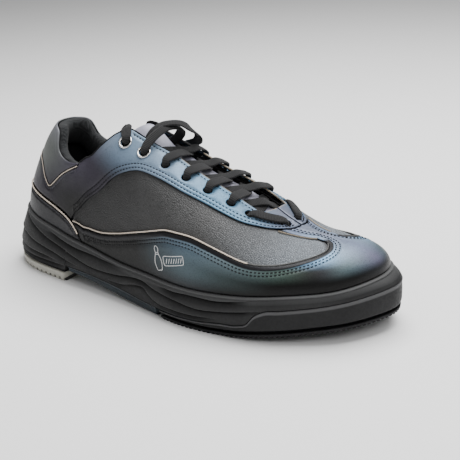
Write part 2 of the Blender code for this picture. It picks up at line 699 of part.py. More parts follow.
def lace_points():
    """Route of the lace: tucked end, down the criss-cross, round the front bar and up again."""
    half = []
    for start in (0, 1):
        strand = front_slot(start)
        side = start
        for k in range(len(EYELETS) - 1, 0, -1):
            strand += crossing(side, k, under_edge=k == len(EYELETS) - 1)
            side = 1 - side
        strand += tucked_end(side)
        half.append(strand)
    return list(reversed(half[0])) + [(HALF - 3.1, 1.0, 6.6)] + half[1]


def on_side(side, station, rise, depth):
    return (STATIONS - station if side else station, rise, depth)


def front_slot(side):
    """From the bar below the throat, out of the slot, along the leather and in at the last hole."""
    slot, last = SLOT, EYELETS[-1]
    middle = ((slot[0] + last[0]) / 2, (slot[1] + last[1]) / 2)
    points = [(*slot, UNDER), (*slot, 2.5), (slot[0] - 0.05, slot[1] - 0.01, -OVER), (*middle, -OVER)]
    return [on_side(side, *p) for p in points]


def crossing(side, k, under_edge):
    """From hole k on one side across the tongue and out of hole k - 1 on the other."""
    low, high = EYELETS[k], EYELETS[k - 1]
    step = low[0] - high[0]
    raised_strand = side == 1
    middle_depth = 2.5 if raised_strand else 6.1
    if under_edge:
        start = [(*low, -OVER), (*low, 2.5), (low[0] - 0.04, low[1] + 0.02, UNDER),
                 (low[0] - 0.1 * step, EDGE_RISE, UNDER)]
        leave = 5.6 if raised_strand else 6.9
    else:
        start = [(*low, UNDER), (*low, 2.0), (*low, -1.0), (low[0] - 0.02, low[1] + 0.02, -OVER),
                 (low[0] - 0.1 * step, EDGE_RISE, -OVER)]
        leave = -1.2 if raised_strand else 1.8
    points = [on_side(side, *p) for p in start]
    points.append(on_side(side, low[0] - 0.25 * step, 0.91, leave))
    points.append(on_side(side, low[0] - 0.5 * step, 1.0, middle_depth))
    points.append(on_side(1 - side, high[0] + 0.25 * step, 0.91, 5.2 if raised_strand else 6.9))
    points.append(on_side(1 - side, high[0] + 0.1 * step, EDGE_RISE, UNDER))
    return points


def tucked_end(side):
    """Out of the top hole, over the corner of the eyestay and down inside it."""
    top = EYELETS[0]
    points = [(*top, UNDER), (*top, 2.0), (*top, -1.0), (top[0] - 0.03, top[1] + 0.02, -OVER),
              (4.10, 0.69, -OVER), (3.96, 0.74, -0.5), (3.94, 0.72, 4.5), (4.02, 0.64, 7.2),
              (4.14, 0.56, 7.4), (4.26, 0.50, 7.4)]
    return [on_side(side, *p) for p in points]


def make_lace(group):
    route = lace_points()
    places = [under(s, r, d) for s, r, d in route]
    table = np.array(places)
    dense = smooth_space(table, 2)
    curve = bpy.data.curves.new("lace", 'CURVE')
    curve.dimensions = '3D'
    curve.bevel_depth = LACE_RADIUS * MM
    curve.bevel_resolution = 0
    curve.use_fill_caps = True
    spline = curve.splines.new('POLY')
    spline.points.add(len(dense) - 1)
    for point, where in zip(spline.points, dense):
        point.co = (*place(where), 1)
    add_object("lace", curve, "lace", group)
    for side, name in ((0, "aglet_1"), (1, "aglet_2")):
        run = [on_side(side, 4.31 + 0.06 * k, 0.475 - 0.022 * k, 7.6) for k in range(6)]
        places = np.array([under(*p) for p in run])
        normals = [outward(np.array(p[0]), np.array(p[1])) for p in run]
        swept(name, places, normals, AGLET_RADIUS, AGLET_RADIUS, "plastic", group)


def smooth_space(table, per_span):
    """More points on a smooth curve through points in space."""
    padded = np.vstack([2 * table[0] - table[1], table, 2 * table[-1] - table[-2]])
    out = []
    for i in range(1, len(table)):
        a, b, c, d = padded[i - 1:i + 3]
        for w in np.arange(per_span) / per_span:
            out.append(b + 0.5 * w * ((c - a) + w * ((2 * a - 5 * b + 4 * c - d)
                                                     + w * (3 * (b - c) + d - a))))
    return out + [table[-1]]


def main():
    groups = start_scene()
    shoe = groups["bowling_shoe"]
    holes = make_hole_cutter(groups["cutters"])
    make_removable_pads(shoe)
    make_shank_outsole(shoe)
    make_forefoot_cup(shoe)
    make_midsole(shoe)
    make_inside_of_sole(shoe)
    make_linings(shoe, holes)
    make_outer_panels(shoe, holes)
    make_stiffeners(shoe, holes)
    make_tongue(shoe)
    make_collar_pad(shoe)
    make_pipings(shoe)
    make_eyelet_rings(shoe)
    make_lace(shoe)


main()
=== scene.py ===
"""Looks of the right-foot bowling shoe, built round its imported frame.

Places on the upper are (station, rise): station 0 at the heel, 11 at the toe along the outer side and
22 back at the heel along the inner side; rise 0 at the midsole and 1 on the ridge.  Design values are
in millimetres and become metres in `place`.
"""
import math

import bmesh
import bpy
import numpy as np
from mathutils import Matrix, Vector
from mathutils.geometry import delaunay_2d_cdt


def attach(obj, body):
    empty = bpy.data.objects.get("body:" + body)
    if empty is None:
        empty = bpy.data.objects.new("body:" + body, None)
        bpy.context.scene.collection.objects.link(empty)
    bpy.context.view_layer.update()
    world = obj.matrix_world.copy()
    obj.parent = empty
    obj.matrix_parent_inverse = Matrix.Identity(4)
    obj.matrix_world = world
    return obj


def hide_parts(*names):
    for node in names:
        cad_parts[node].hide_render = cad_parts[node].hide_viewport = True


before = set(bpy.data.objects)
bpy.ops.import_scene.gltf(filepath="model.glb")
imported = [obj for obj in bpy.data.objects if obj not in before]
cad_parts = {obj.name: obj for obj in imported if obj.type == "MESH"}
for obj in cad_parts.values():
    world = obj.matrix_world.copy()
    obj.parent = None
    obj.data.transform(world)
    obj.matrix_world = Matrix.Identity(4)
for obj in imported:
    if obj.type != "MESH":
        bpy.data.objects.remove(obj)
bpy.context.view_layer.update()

# ---------------------------------------------------------------- shared design dimensions (mm)
MM = 0.001
CENTRE = np.array([152.2, -1.1, 0.0])
STATIONS = 22
HALF = STATIONS // 2
SIDES = ("lateral", "medial")
GROUND = [(0, 0), (5.5, -17.3), (26, -30.3), (60, -36.7), (100, -40.5), (140, -46.4), (180, -54.2),
          (210, -54.1), (240, -51), (267, -39.3), (290, -21.8), (304.5, 6), (297, 28), (275, 43),
          (245, 50), (215, 52), (180, 45), (140, 35), (100, 32), (60, 34), (25, 31), (6, 17)]
SEAM = [(13, 0), (19, -17), (37, -28.5), (66, -34), (103, -38.5), (142, -44.5), (181, -51.5),
        (210, -52), (238, -48.5), (264, -38.5), (286, -21.5), (297, 4), (291, 26), (271, 40),
        (243, 47.5), (214, 49.5), (180, 43), (141, 33), (103, 29.5), (66, 30), (36, 27), (19, 16)]
SEAM_HEIGHT = [(13, 46), (36, 42), (54, 39), (76, 34.6), (100, 31), (122, 28), (157, 27),
               (200, 27), (229, 29), (257, 32), (280, 34), (297, 37)]
RIDGE_HEIGHT = [(94, 146), (110, 127), (125, 116.5), (142, 108.5), (160, 100), (180, 90),
                (200, 81.5), (216, 72.5), (230, 64), (245, 57.5), (262, 55.5), (280, 56), (297, 57)]
RIDGE_MIDDLE = 172.0
RIDGE_REACH = 78.0
UPPER_MIDDLE = 155.0     # middle and half length of the seam line
UPPER_REACH = 142.0
SIDE_BLEND = 25.0        # over this distance from the ridge the fullness changes sides
RIDGE_SIDE = [(94, 0), (120, 0), (170, 1), (220, 4), (250, 5)]
FULLNESS_OUTER = [(13, 1.4), (60, 1.55), (110, 2.3), (150, 2.8), (200, 2.75), (240, 2.6), (297, 2.4)]
FULLNESS_INNER = [(13, 1.4), (60, 1.55), (110, 1.85), (150, 1.85), (200, 1.8), (240, 1.8), (297, 2.1)]

COLLAR_RIM = [(0, .52), (1, .515), (1.91, .486), (2.43, .375), (2.91, .335), (3.4, .34),
              (3.72, .391), (3.89, .513), (4.01, .654)]
EYESTAY_EDGE = [(4.12, .755), (4.7, .765), (5.2, .795), (5.8, .80), (6.5, .805), (7.2, .827)]
INLAY_TOP = [(3.34, .09), (3.67, .157), (4.04, .262), (4.31, .37), (4.52, .44), (4.83, .504),
             (5.18, .534), (5.61, .56), (6.05, .583), (6.58, .596), (7.07, .625), (7.45, .684),
             (7.83, .761), (8.6, .83), (9.6, .85)]
INLAY_BOTTOM = [(10.05, .75), (9.8, .65), (9.32, .564), (8.67, .469), (8.04, .39), (7.59, .362),
                (6.83, .358), (6.27, .355), (5.77, .319), (5.47, .27), (5.14, .218), (4.53, .143),
                (4.08, .095), (3.66, .072)]
HEEL_TOP = [(0, .12), (1, .118), (2.05, .11), (2.88, .093), (3.22, .078), (3.42, .05), (3.56, .012)]
COLLAR_POINT = [(0, .33), (1, .31), (1.7, .275), (2.2, .208), (2.43, .183), (2.58, .207),
                (2.84, .265), (3.1, .30), (3.36, .325)]
EYESTAY_FRONT = [(7.07, .64), (7.45, .70), (7.83, .785), (8.2, .90), (8.36, 1.0)]
EYELETS = [(4.27, .63), (4.72, .643), (5.19, .661), (5.6, .683), (6.06, .70), (6.62, .722), (7.1, .745)]
SLOT = (7.9, .92)
EDGE_RISE = 0.79
RING_EYELETS = 2
HOLE_STEPS = 28
HOLE_RADIUS = 3.1

# heights of the sole's parts
TOE_SPRING = [(205, 0), (222, 1.4), (240, 3.8), (258, 5.9), (275, 8), (290, 9.6), (304.5, 11)]
CUP_EDGE = [(163, 6.1), (184, 6.5), (200, 7.2), (215, 9), (228, 10.4), (234, 12.8), (238, 17.8),
            (244, 21.6), (254, 23), (275, 25.5), (291, 28), (304.5, 30.4)]
SHANK_BOTTOM = [(70, 8.6), (91, 6.7), (111, 4.3), (127, 2.2), (144, 0.7), (162, 0.5)]
SHANK_TOP = [(70, 12.3), (92, 11.5), (114, 10), (132, 8.4), (146, 6.8), (162, 6.3)]
FOOTBED_TOP = [(13, 38), (36, 35), (60, 32), (90, 28), (120, 24.5), (160, 20.5), (200, 18.5),
               (240, 20), (270, 23.5), (297, 28)]

# sections of the sole: where the cup starts and its floor ends, how far its floor reaches in, and the heel
CUP_START = 5.62
CUP_END = 10.98
FLOOR_INSET = 9.0
HEEL_FRONT = 69.0
HEEL_FLOOR = 8.9
CUP_FLOOR = 6.0
LIP = 1.2

# lower edges of the sculpted layers of the midsole, as (station, height)
LAYER_EDGES = [
    [(1.2, 43), (2.0, 36.7), (2.65, 30.1), (3.13, 26.1), (3.52, 22), (3.9, 18.6), (4.13, 18.3),
     (4.54, 19.3), (4.97, 22), (5.24, 22.2), (5.49, 19.9), (5.72, 18.7), (6.05, 17.6), (6.67, 16),
     (6.99, 16.8), (7.6, 19.6), (8.2, 22.8)],
    [(2.6, 36.5), (3.09, 31.9), (3.52, 28.9), (3.9, 27.8), (4.38, 26.1), (4.75, 25.6)],
    [(0, 29.5), (1, 28.8), (1.76, 27.2), (2.23, 24.5), (2.67, 22.2), (3.04, 19.9), (3.31, 17.4), (3.6, 15.4)],
    [(0, 19), (1, 18.3), (1.59, 17.6), (2.26, 16.8), (2.6, 16.4), (3.0, 15.4)],
    [(0, 12.6), (1, 12.4), (2.51, 12.4), (3.06, 12.7), (3.45, 13.3)],
    [(4.3, 13.2), (4.72, 13.9), (5.1, 17.6), (5.26, 17.6), (5.41, 13.5), (5.64, 10.6), (5.88, 10.4),
     (6.67, 10.9), (7.1, 12.2)],
    [(5.6, 23.6), (5.97, 23), (6.3, 23.6), (6.69, 23.7), (7.0, 23.7), (7.5, 25.6), (7.9, 28)]]


# ---------------------------------------------------------------- the upper's surface
def ease(w):
    """Soft start and end for a share between 0 and 1."""
    return w * w * (3 - 2 * w)


def spline(a, b, c, d, w):
    """Point at a share w of the way from b to c on a smooth curve through a, b, c and d."""
    return b + 0.5 * w * ((c - a) + w * ((2 * a - 5 * b + 4 * c - d) + w * (3 * (b - c) + d - a)))


def along(points, x):
    """Smooth curve through (x, value) points, level beyond both ends."""
    xs, ys = np.array(points, float).T
    slopes = np.gradient(ys, xs)
    x = np.clip(x, xs[0], xs[-1])
    i = np.clip(np.searchsorted(xs, x) - 1, 0, len(xs) - 2)
    span = xs[i + 1] - xs[i]
    w = (x - xs[i]) / span
    start = (1 + 2 * w) * (1 - w) ** 2 * ys[i] + w * (1 - w) ** 2 * span * slopes[i]
    end = w * w * (3 - 2 * w) * ys[i + 1] + w * w * (w - 1) * span * slopes[i + 1]
    return start + end


def plan(points, station):
    """Place on a closed outline with one point for each station."""
    table = np.array(points, float)
    station = np.asarray(station, float) % STATIONS
    i = np.floor(station).astype(int)
    return spline(*[table[(i + k) % STATIONS] for k in (-1, 0, 1, 2)], (station - i)[..., None])


def skin(station, rise):
    """Point of the upper's outer surface."""
    station = np.asarray(station, float)
    foot = plan(SEAM, station)
    x, y = foot[..., 0], foot[..., 1]
    along_shoe = (x + plan(SEAM, STATIONS - station)[..., 0]) / 2
    turn = np.clip((along_shoe - UPPER_MIDDLE) / UPPER_REACH, -1, 1)
    ridge_x = RIDGE_MIDDLE + RIDGE_REACH * np.sin(np.pi / 2 * turn)
    ridge_y = along(RIDGE_SIDE, ridge_x)
    inner = ease(0.5 + 0.5 * np.clip((y - ridge_y) / SIDE_BLEND, -1, 1))
    power = along(FULLNESS_OUTER, x) * (1 - inner) + along(FULLNESS_INNER, x) * inner
    angle = np.clip(rise, 0, 1) * np.pi / 2
    across, up = np.cos(angle), np.sin(angle)
    size = (across ** power + up ** power) ** (-1 / power)
    px = ridge_x + (x - ridge_x) * across * size
    py = ridge_y + (y - ridge_y) * across * size
    low = along(SEAM_HEIGHT, x)
    pz = low + (along(RIDGE_HEIGHT, px) - low) * up * size
    return np.stack([px, py, pz], -1)


def slopes_at(station, rise):
    """How far a point of the surface moves for each station and for each whole rise."""
    step_s, step_r = 0.02, 0.004
    ds = skin(station + step_s, rise) - skin(station - step_s, rise)
    dr = skin(station, rise + step_r) - skin(station, rise - step_r)
    return ds / (2 * step_s), dr / (2 * step_r)


def ridge_normal(x):
    slope = (along(RIDGE_HEIGHT, x + 2) - along(RIDGE_HEIGHT, x - 2)) / 4
    return unit(np.stack([-slope, 0 * slope, 1 + 0 * slope], -1))


def outward(station, rise):
    """Unit normal of the upper's outer surface."""
    rise = np.clip(rise, 0.002, 0.99)
    blend = np.clip((rise - 0.85) / 0.13, 0, 1)[..., None]
    normal = unit(np.cross(*slopes_at(station, rise)))
    return unit(normal * (1 - blend) + ridge_normal(skin(station, rise)[..., 0]) * blend)


def under(station, rise, depth):
    """Point at a depth below the upper's outer surface."""
    return skin(station, rise) - outward(station, rise) * np.asarray(depth, float)[..., None]


def catmull(table, per_span):
    """Smooth curve through rows of numbers."""
    table = np.array(table, float)
    padded = np.vstack([2 * table[0] - table[1], table, 2 * table[-1] - table[-2]])
    w = (np.arange(per_span) / per_span)[:, None]
    spans = [spline(*padded[i:i + 4], w) for i in range(len(table) - 1)]
    return np.vstack(spans + [table[-1:]])


def smooth(points, per_span=6):
    return [tuple(p) for p in catmull(points, per_span)]


def opposite(points):
    """The same places on the other side of the shoe."""
    return [(STATIONS - s, r) for s, r in points]


def on(side, points):
    return opposite(points) if side == "medial" else points


def inner_side(points):
    """An outline's part on the inner side, in the order that goes on from the outer side's part."""
    return opposite(points)[::-1]


def outline_on(side, outline):
    return inner_side(outline) if side == "medial" else outline


def around(half):
    """A line from the heel forward on the outer side, together with its twin on the inner side."""
    return [(-s, r) for s, r in half[:0:-1]] + half


def from_heel(station):
    """The station on the outer side that lies opposite a station on the inner side."""
    return np.minimum(station % STATIONS, STATIONS - station % STATIONS)


def raised(points, amount):
    return [(s, r + amount) for s, r in points]


def spread(start, end, count):
    start, end = np.array(start, float), np.array(end, float)
    return [tuple(start + (end - start) * k / count) for k in range(count)]


def place(points):
    """Design points in millimetres to world metres."""
    return (np.asarray(points, float) - CENTRE) * MM


def unit(v):
    return v / np.maximum(np.linalg.norm(v, axis=-1, keepdims=True), 1e-9)


def shifted(curve, mm):
    """A seam moved sideways on the surface: up the shoe where it runs with the stations."""
    c = np.array(curve, float)
    s, r = c[:, 0], np.clip(c[:, 1], 0.006, 0.994)
    across = np.cross(outward(s, r), unit(np.gradient(skin(s, r), axis=0)))
    js, jr = slopes_at(s, r)
    a, b, d = (js * js).sum(1), (js * jr).sum(1), (jr * jr).sum(1)
    e, f = (js * across).sum(1), (jr * across).sum(1)
    return c + np.stack([d * e - b * f, a * f - b * e], -1) / (a * d - b * b)[:, None] * mm


def moves_for(station, rise, plane):
    """Steps in station and rise that move a point by plane's columns: along the stations and up, in mm."""
    ds, dr = slopes_at(station, rise)
    side = unit(ds)
    up = np.cross(outward(station, rise), side)
    in_space = plane[:, :1] * side + plane[:, 1:] * up
    return np.linalg.lstsq(np.stack([ds, dr], -1), in_space.T, rcond=None)[0].T


def distances(line):
    """How far along a line each of its points is."""
    return np.concatenate([[0], np.cumsum(np.linalg.norm(np.diff(line, axis=0), axis=1))])


def sampled(table, d, t):
    """Rows of a table known at distances d, read off at distances t."""
    return np.stack([np.interp(t, d, column) for column in table.T], -1)


def even(line, step):
    """The same line with its points a step apart."""
    line = np.asarray(line, float)
    d = distances(line)
    return sampled(line, d, np.linspace(0, d[-1], max(2, int(round(d[-1] / step)) + 1)))


def on_skin(curve, depth=0.0):
    return under(*np.array(curve, float).T, depth)


def with_normals(curve, depth):
    """Rows of a place on the upper and the outward direction there."""
    return np.c_[on_skin(curve, depth), outward(*np.array(curve, float).T)]


def nearest(points, line):
    """Distance from each point to a dense line of points."""
    out = np.full(len(points), 1e9)
    for start in range(0, len(line), 64):
        part = line[start:start + 64]
        d = np.linalg.norm(points[:, None] - part[None], axis=-1).min(1)
        out = np.minimum(out, d)
    return out


# ---------------------------------------------------------------- meshes
def add_object(name, data):
    thing = bpy.data.objects.new(name, data)
    bpy.context.scene.collection.objects.link(thing)
    return thing


def build(name, points, faces, surface, body="shoe", replaces=(), slot=None, fields=None, uv=None,
          solid=0.0, recalc=False):
    """A piece from points in millimetres."""
    mesh = bpy.data.meshes.new(name)
    mesh.from_pydata([tuple(p) for p in place(points)], [], [tuple(int(i) for i in f) for f in faces])
    for key, values in (fields or {}).items():
        values = np.asarray(values, np.float32)
        colour = values.ndim == 2
        if colour:
            values = np.c_[values, np.ones(len(values), np.float32)]
        layer = mesh.attributes.new(key, 'FLOAT_COLOR' if colour else 'FLOAT', 'POINT')
        layer.data.foreach_set("color" if colour else "value", values.ravel())
    if uv is not None:
        layer = mesh.uv_layers.new(name="thread")
        corners = np.zeros(len(mesh.loops), np.int32)
        mesh.loops.foreach_get("vertex_index", corners)
        layer.data.foreach_set("uv", np.asarray(uv, np.float32)[corners].ravel())
    mesh.shade_smooth()
    mesh.materials.append(surface)
    thing = add_object(name, mesh)
    if recalc:
        turn_outwards(mesh)
    if solid:
        shell = thing.modifiers.new("thickness", 'SOLIDIFY')
        shell.thickness = solid * MM
        shell.offset = -1
    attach(thing, body)
    if replaces:
        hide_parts(*replaces)
    return thing


def turn_outwards(mesh):
    bm = bmesh.new()
    bm.from_mesh(mesh)
    bmesh.ops.recalc_face_normals(bm, faces=bm.faces)
    bm.to_mesh(mesh)
    bm.free()


def net(rows, columns, round_columns=True, round_rows=False):
    """Quads of a net of points stored row by row; a round net joins its last row or column to its first."""
    faces = []
    for i in range(rows if round_rows else rows - 1):
        here, ahead = i * columns, (i + 1) % rows * columns
        for k in range(columns if round_columns else columns - 1):
            beside_k = (k + 1) % columns
            faces.append((here + k, here + beside_k, ahead + beside_k, ahead + k))
    return faces


def loft(name, rings, surface, fields=None, uv=None, **options):
    """Closed body through rings of points, each ring a closed cross-section, with a fan over each end."""
    rings = np.asarray(rings, float)
    count, size = rings.shape[:2]
    faces = net(count, size)
    last, hub = (count - 1) * size, count * size
    for k in range(size):
        faces.append(((k + 1) % size, k, hub))
        faces.append((last + k, last + (k + 1) % size, hub + 1))
    points = np.vstack([rings.reshape(-1, 3), rings[0].mean(0), rings[-1].mean(0)])
    fields = {key: np.concatenate([values, [values[:size].mean(), values[-size:].mean()]])
              for key, values in (fields or {}).items()}
    if uv is not None:
        uv = np.concatenate([uv, uv[:1], uv[-1:]])
    return build(name, points, faces, surface, fields=fields, uv=uv, recalc=True, **options)


# about how many millimetres a station and a whole rise measure
SCALE = np.array([36.0, 92.0])
TRIANGLE_HEIGHT = 0.866


def inside(points, ring):
    x, y = points[:, 0], points[:, 1]
    result = np.zeros(len(points), bool)
    for (ax, ay), (bx, by) in zip(ring, np.roll(ring, -1, 0)):
        if ay != by:
            result ^= ((ay > y) != (by > y)) & (x < (bx - ax) * (y - ay) / (by - ay) + ax)
    return result


def ring_of(outline, step=1.3):
    """Closed outline on the flattened surface, in millimetres, with points a step apart."""
    flat = np.array(outline, float) * SCALE
    out = []
    for a, b in zip(flat, np.roll(flat, -1, 0)):
        count = max(1, math.ceil(np.linalg.norm(b - a) / step))
        out += [a + (b - a) * k / count for k in range(count)]
    out = np.array(out)
    keep = np.linalg.norm(out - np.roll(out, 1, 0), axis=1) > 0.05
    return out[keep]


def beside(line, ahead, gap):
    """Points beside a line in the plane that runs along the directions ahead."""
    return line + unit(np.stack([-ahead[:, 1], ahead[:, 0]], -1)) * gap


def loop(start, count):
    return [(start + k, start + (k + 1) % count) for k in range(count)]


def spans_crossed(points, faces):
    """Cross product of two edges of each triangle."""
    a, b, c = points[faces.T]
    return np.cross(b - a, c - a)


def staggered(ring, spacing):
    """Rows of points in a triangle pattern inside an outline."""
    low, high = ring.min(0), ring.max(0)
    grid = np.stack(np.meshgrid(np.arange(low[0], high[0], spacing),
                                np.arange(low[1], high[1], spacing * TRIANGLE_HEIGHT)), -1)
    grid[1::2, :, 0] += spacing / 2
    grid = grid.reshape(-1, 2)
    return grid[inside(grid, ring)]


def thinned(fixed, loose, cell=0.4):
    """The fixed points, and those of the loose ones that share no cell with an earlier point."""
    kept = list(map(tuple, fixed))
    seen = {(round(x / cell), round(y / cell)) for x, y in kept}
    for x, y in loose:
        key = (round(x / cell), round(y / cell))
        if key not in seen:
            seen.add(key)
            kept.append((x, y))
    return kept


def fill(outline, rows=(), holes=(), spacing=2.6):
    """Triangles that fill an outline, with finer rows along its border, its seams and its holes."""
    ring = ring_of(outline)
    if np.cross(ring, np.roll(ring, -1, 0)).sum() < 0:
        ring = ring[::-1]
    fixed, circles, edges = [ring], [], loop(0, len(ring))
    turn = np.linspace(0, 2 * np.pi, HOLE_STEPS, endpoint=False)
    for s, r in holes:
        moves = moves_for(s, r, HOLE_RADIUS * np.stack([np.cos(turn), np.sin(turn)], -1))
        edges += loop(sum(map(len, fixed)), HOLE_STEPS)
        fixed += [(np.array([s, r]) + moves * grown) * SCALE for grown in (1, 1.12, 1.35)]
        circles.append(fixed[-3])
    ahead = np.roll(ring, -1, 0) - np.roll(ring, 1, 0)
    wanted = [(beside(ring, ahead, gap), gap * 0.8) for gap in (0.5, 1.2, 2.2)]
    for row in rows:
        line = even(np.array(row, float) * SCALE, 1.3)
        wanted += [(beside(line, np.gradient(line, axis=0), gap), 0.5) for gap in (0, -0.6, 0.6)]
    loose = []
    for near, clear in wanted:
        near = near[inside(near, ring)]
        loose.append(near[nearest(near, ring) > clear])
    grid = staggered(ring, spacing)
    loose.append(grid[nearest(grid, np.vstack(fixed + loose)) > spacing * 0.55])
    kept = thinned(np.vstack(fixed), np.vstack(loose))
    made = delaunay_2d_cdt([Vector(p) for p in kept], edges, [], 0, 1e-6)
    points = np.array([tuple(v) for v in made[0]])
    faces = np.array([f for f in made[2] if len(f) == 3])
    middle = points[faces].mean(1)
    good = inside(middle, ring)
    for circle in circles:
        good &= ~inside(middle, circle)
    used, faces = np.unique(faces[good], return_inverse=True)
    points, faces = points[used], faces.reshape(-1, 3)
    return points / SCALE, faces[np.abs(spans_crossed(points, faces)) > 1e-4]


def leather_sheet(name, outline, surface, depth=0.0, thickness=1.1, seams=(), rows=(), holes=(), spacing=2.6,
                  relief=None, weld=False, edge_drop=0.45, tint=None, **options):
    """A piece of the upper with a rolled edge, stitch grooves along its seams and its colour, with painted
    shade and light, in the mesh.
    """
    flat, faces = fill(outline, [*seams, *rows], holes, spacing)
    border = ring_of(outline) / SCALE
    if weld:
        border = border[border[:, 1] < 0.985]
    points = skin(*flat.T)
    edge = nearest(points, skin(*border.T))
    below = depth + edge_drop * np.clip(1 - edge, 0, 1) ** 2
    if seams:
        below = below + groove(points, seams)
    if relief:
        below = below + relief(points, edge)
    points = under(*flat.T, below)
    if weld:
        points, faces, flat, edge = welded(points, faces, flat, edge)
    facing = (spans_crossed(points, faces) * outward(*flat[faces[:, 0]].T)).sum(1)
    faces = np.where(facing[:, None] < 0, faces[:, ::-1], faces)
    fields = {"edge": edge}
    if tint:
        fields["tint"] = tint(flat)
    return build(name, points, faces, surface, solid=thickness, fields=fields, **options)


def welded(points, faces, flat, edge):
    """Joins the two sides of a piece where they meet on the ridge."""
    key = {}
    index = np.zeros(len(points), int)
    kept = []
    for i, p in enumerate(points):
        cell = tuple(np.round(p / 0.02).astype(int)) if flat[i, 1] > 0.998 else ("free", i)
        if cell not in key:
            key[cell] = len(kept)
            kept.append(i)
        index[i] = key[cell]
    faces = index[faces]
    whole = (faces[:, 0] != faces[:, 1]) & (faces[:, 1] != faces[:, 2]) & (faces[:, 0] != faces[:, 2])
    return points[kept], faces[whole], flat[kept], edge[kept]


def swept(name, centres, normals, half_width, half_depth, surface, sides=10, **options):
    """Rounded bar along a row of points: half_width runs across, half_depth along the normals."""
    ahead = unit(np.gradient(centres, axis=0))
    across = unit(np.cross(ahead, normals))
    upright = np.cross(across, ahead)
    angle = 2 * np.pi * (np.arange(sides) + 0.5) / sides
    ring = (centres[:, None] + across[:, None] * half_width * np.cos(angle)[None, :, None]
            + upright[:, None] * half_depth * np.sin(angle)[None, :, None])
    uv = np.stack(np.broadcast_arrays(distances(centres)[:, None], angle[None] / (2 * np.pi)), -1)
    return loft(name, ring, surface, uv=uv.reshape(-1, 2), **options)


def bar(name, route, depth, half_width, half_depth, surface, step=1.5, **options):
    """Rounded bar along a line on the upper."""
    rows = with_normals(route, depth)
    d = distances(rows[:, :3])
    rows = sampled(rows, d, np.linspace(0, d[-1], max(4, int(d[-1] / step))))
    return swept(name, rows[:, :3], unit(rows[:, 3:]), half_width, half_depth, surface, **options)


# ---------------------------------------------------------------- stitching
def stitch_shape(sides=6):
    """One stitch lying along X with its top towards Z, half a unit long each way."""
    sections = [(-1, .25), (-.86, .75), (-.45, 1), (.45, 1), (.86, .75), (1, .25)]
    points = []
    for x, size in sections:
        for k in range(sides):
            a = 2 * math.pi * k / sides
            points.append((x, math.cos(a) * size, math.sin(a) * size - 0.9 * x * x))
    ends = [tuple(reversed(range(sides))), tuple(range(len(points) - sides, len(points)))]
    return np.array(points), net(len(sections), sides) + ends


def stitches(name, seams, surface, depth=-0.05, pitch=2.5, length=0.68, radius=0.38, **options):
    """Rows of single stitches along seams given as lines of (station, rise)."""
    shape, shape_faces = stitch_shape()
    points, faces = [], []
    for seam in seams:
        rows = with_normals(seam, depth)
        d = distances(rows[:, :3])
        t = np.arange(pitch / 2, d[-1] - pitch / 2, pitch)
        ends = [sampled(rows, d, t + off) for off in (-.5, .5)]
        middle = (ends[0] + ends[1]) / 2
        ahead = unit(ends[1][:, :3] - ends[0][:, :3])
        normal = unit(middle[:, 3:])
        for p, a, b, n in zip(middle[:, :3], ahead, np.cross(normal, ahead), normal):
            faces += [tuple(len(points) * len(shape) + i for i in f) for f in shape_faces]
            points.append(p + shape[:, :1] * a * pitch * length / 2 + shape[:, 1:2] * b * radius
                          + shape[:, 2:] * n * radius)
    return build(name, np.vstack(points), faces, surface, **options)


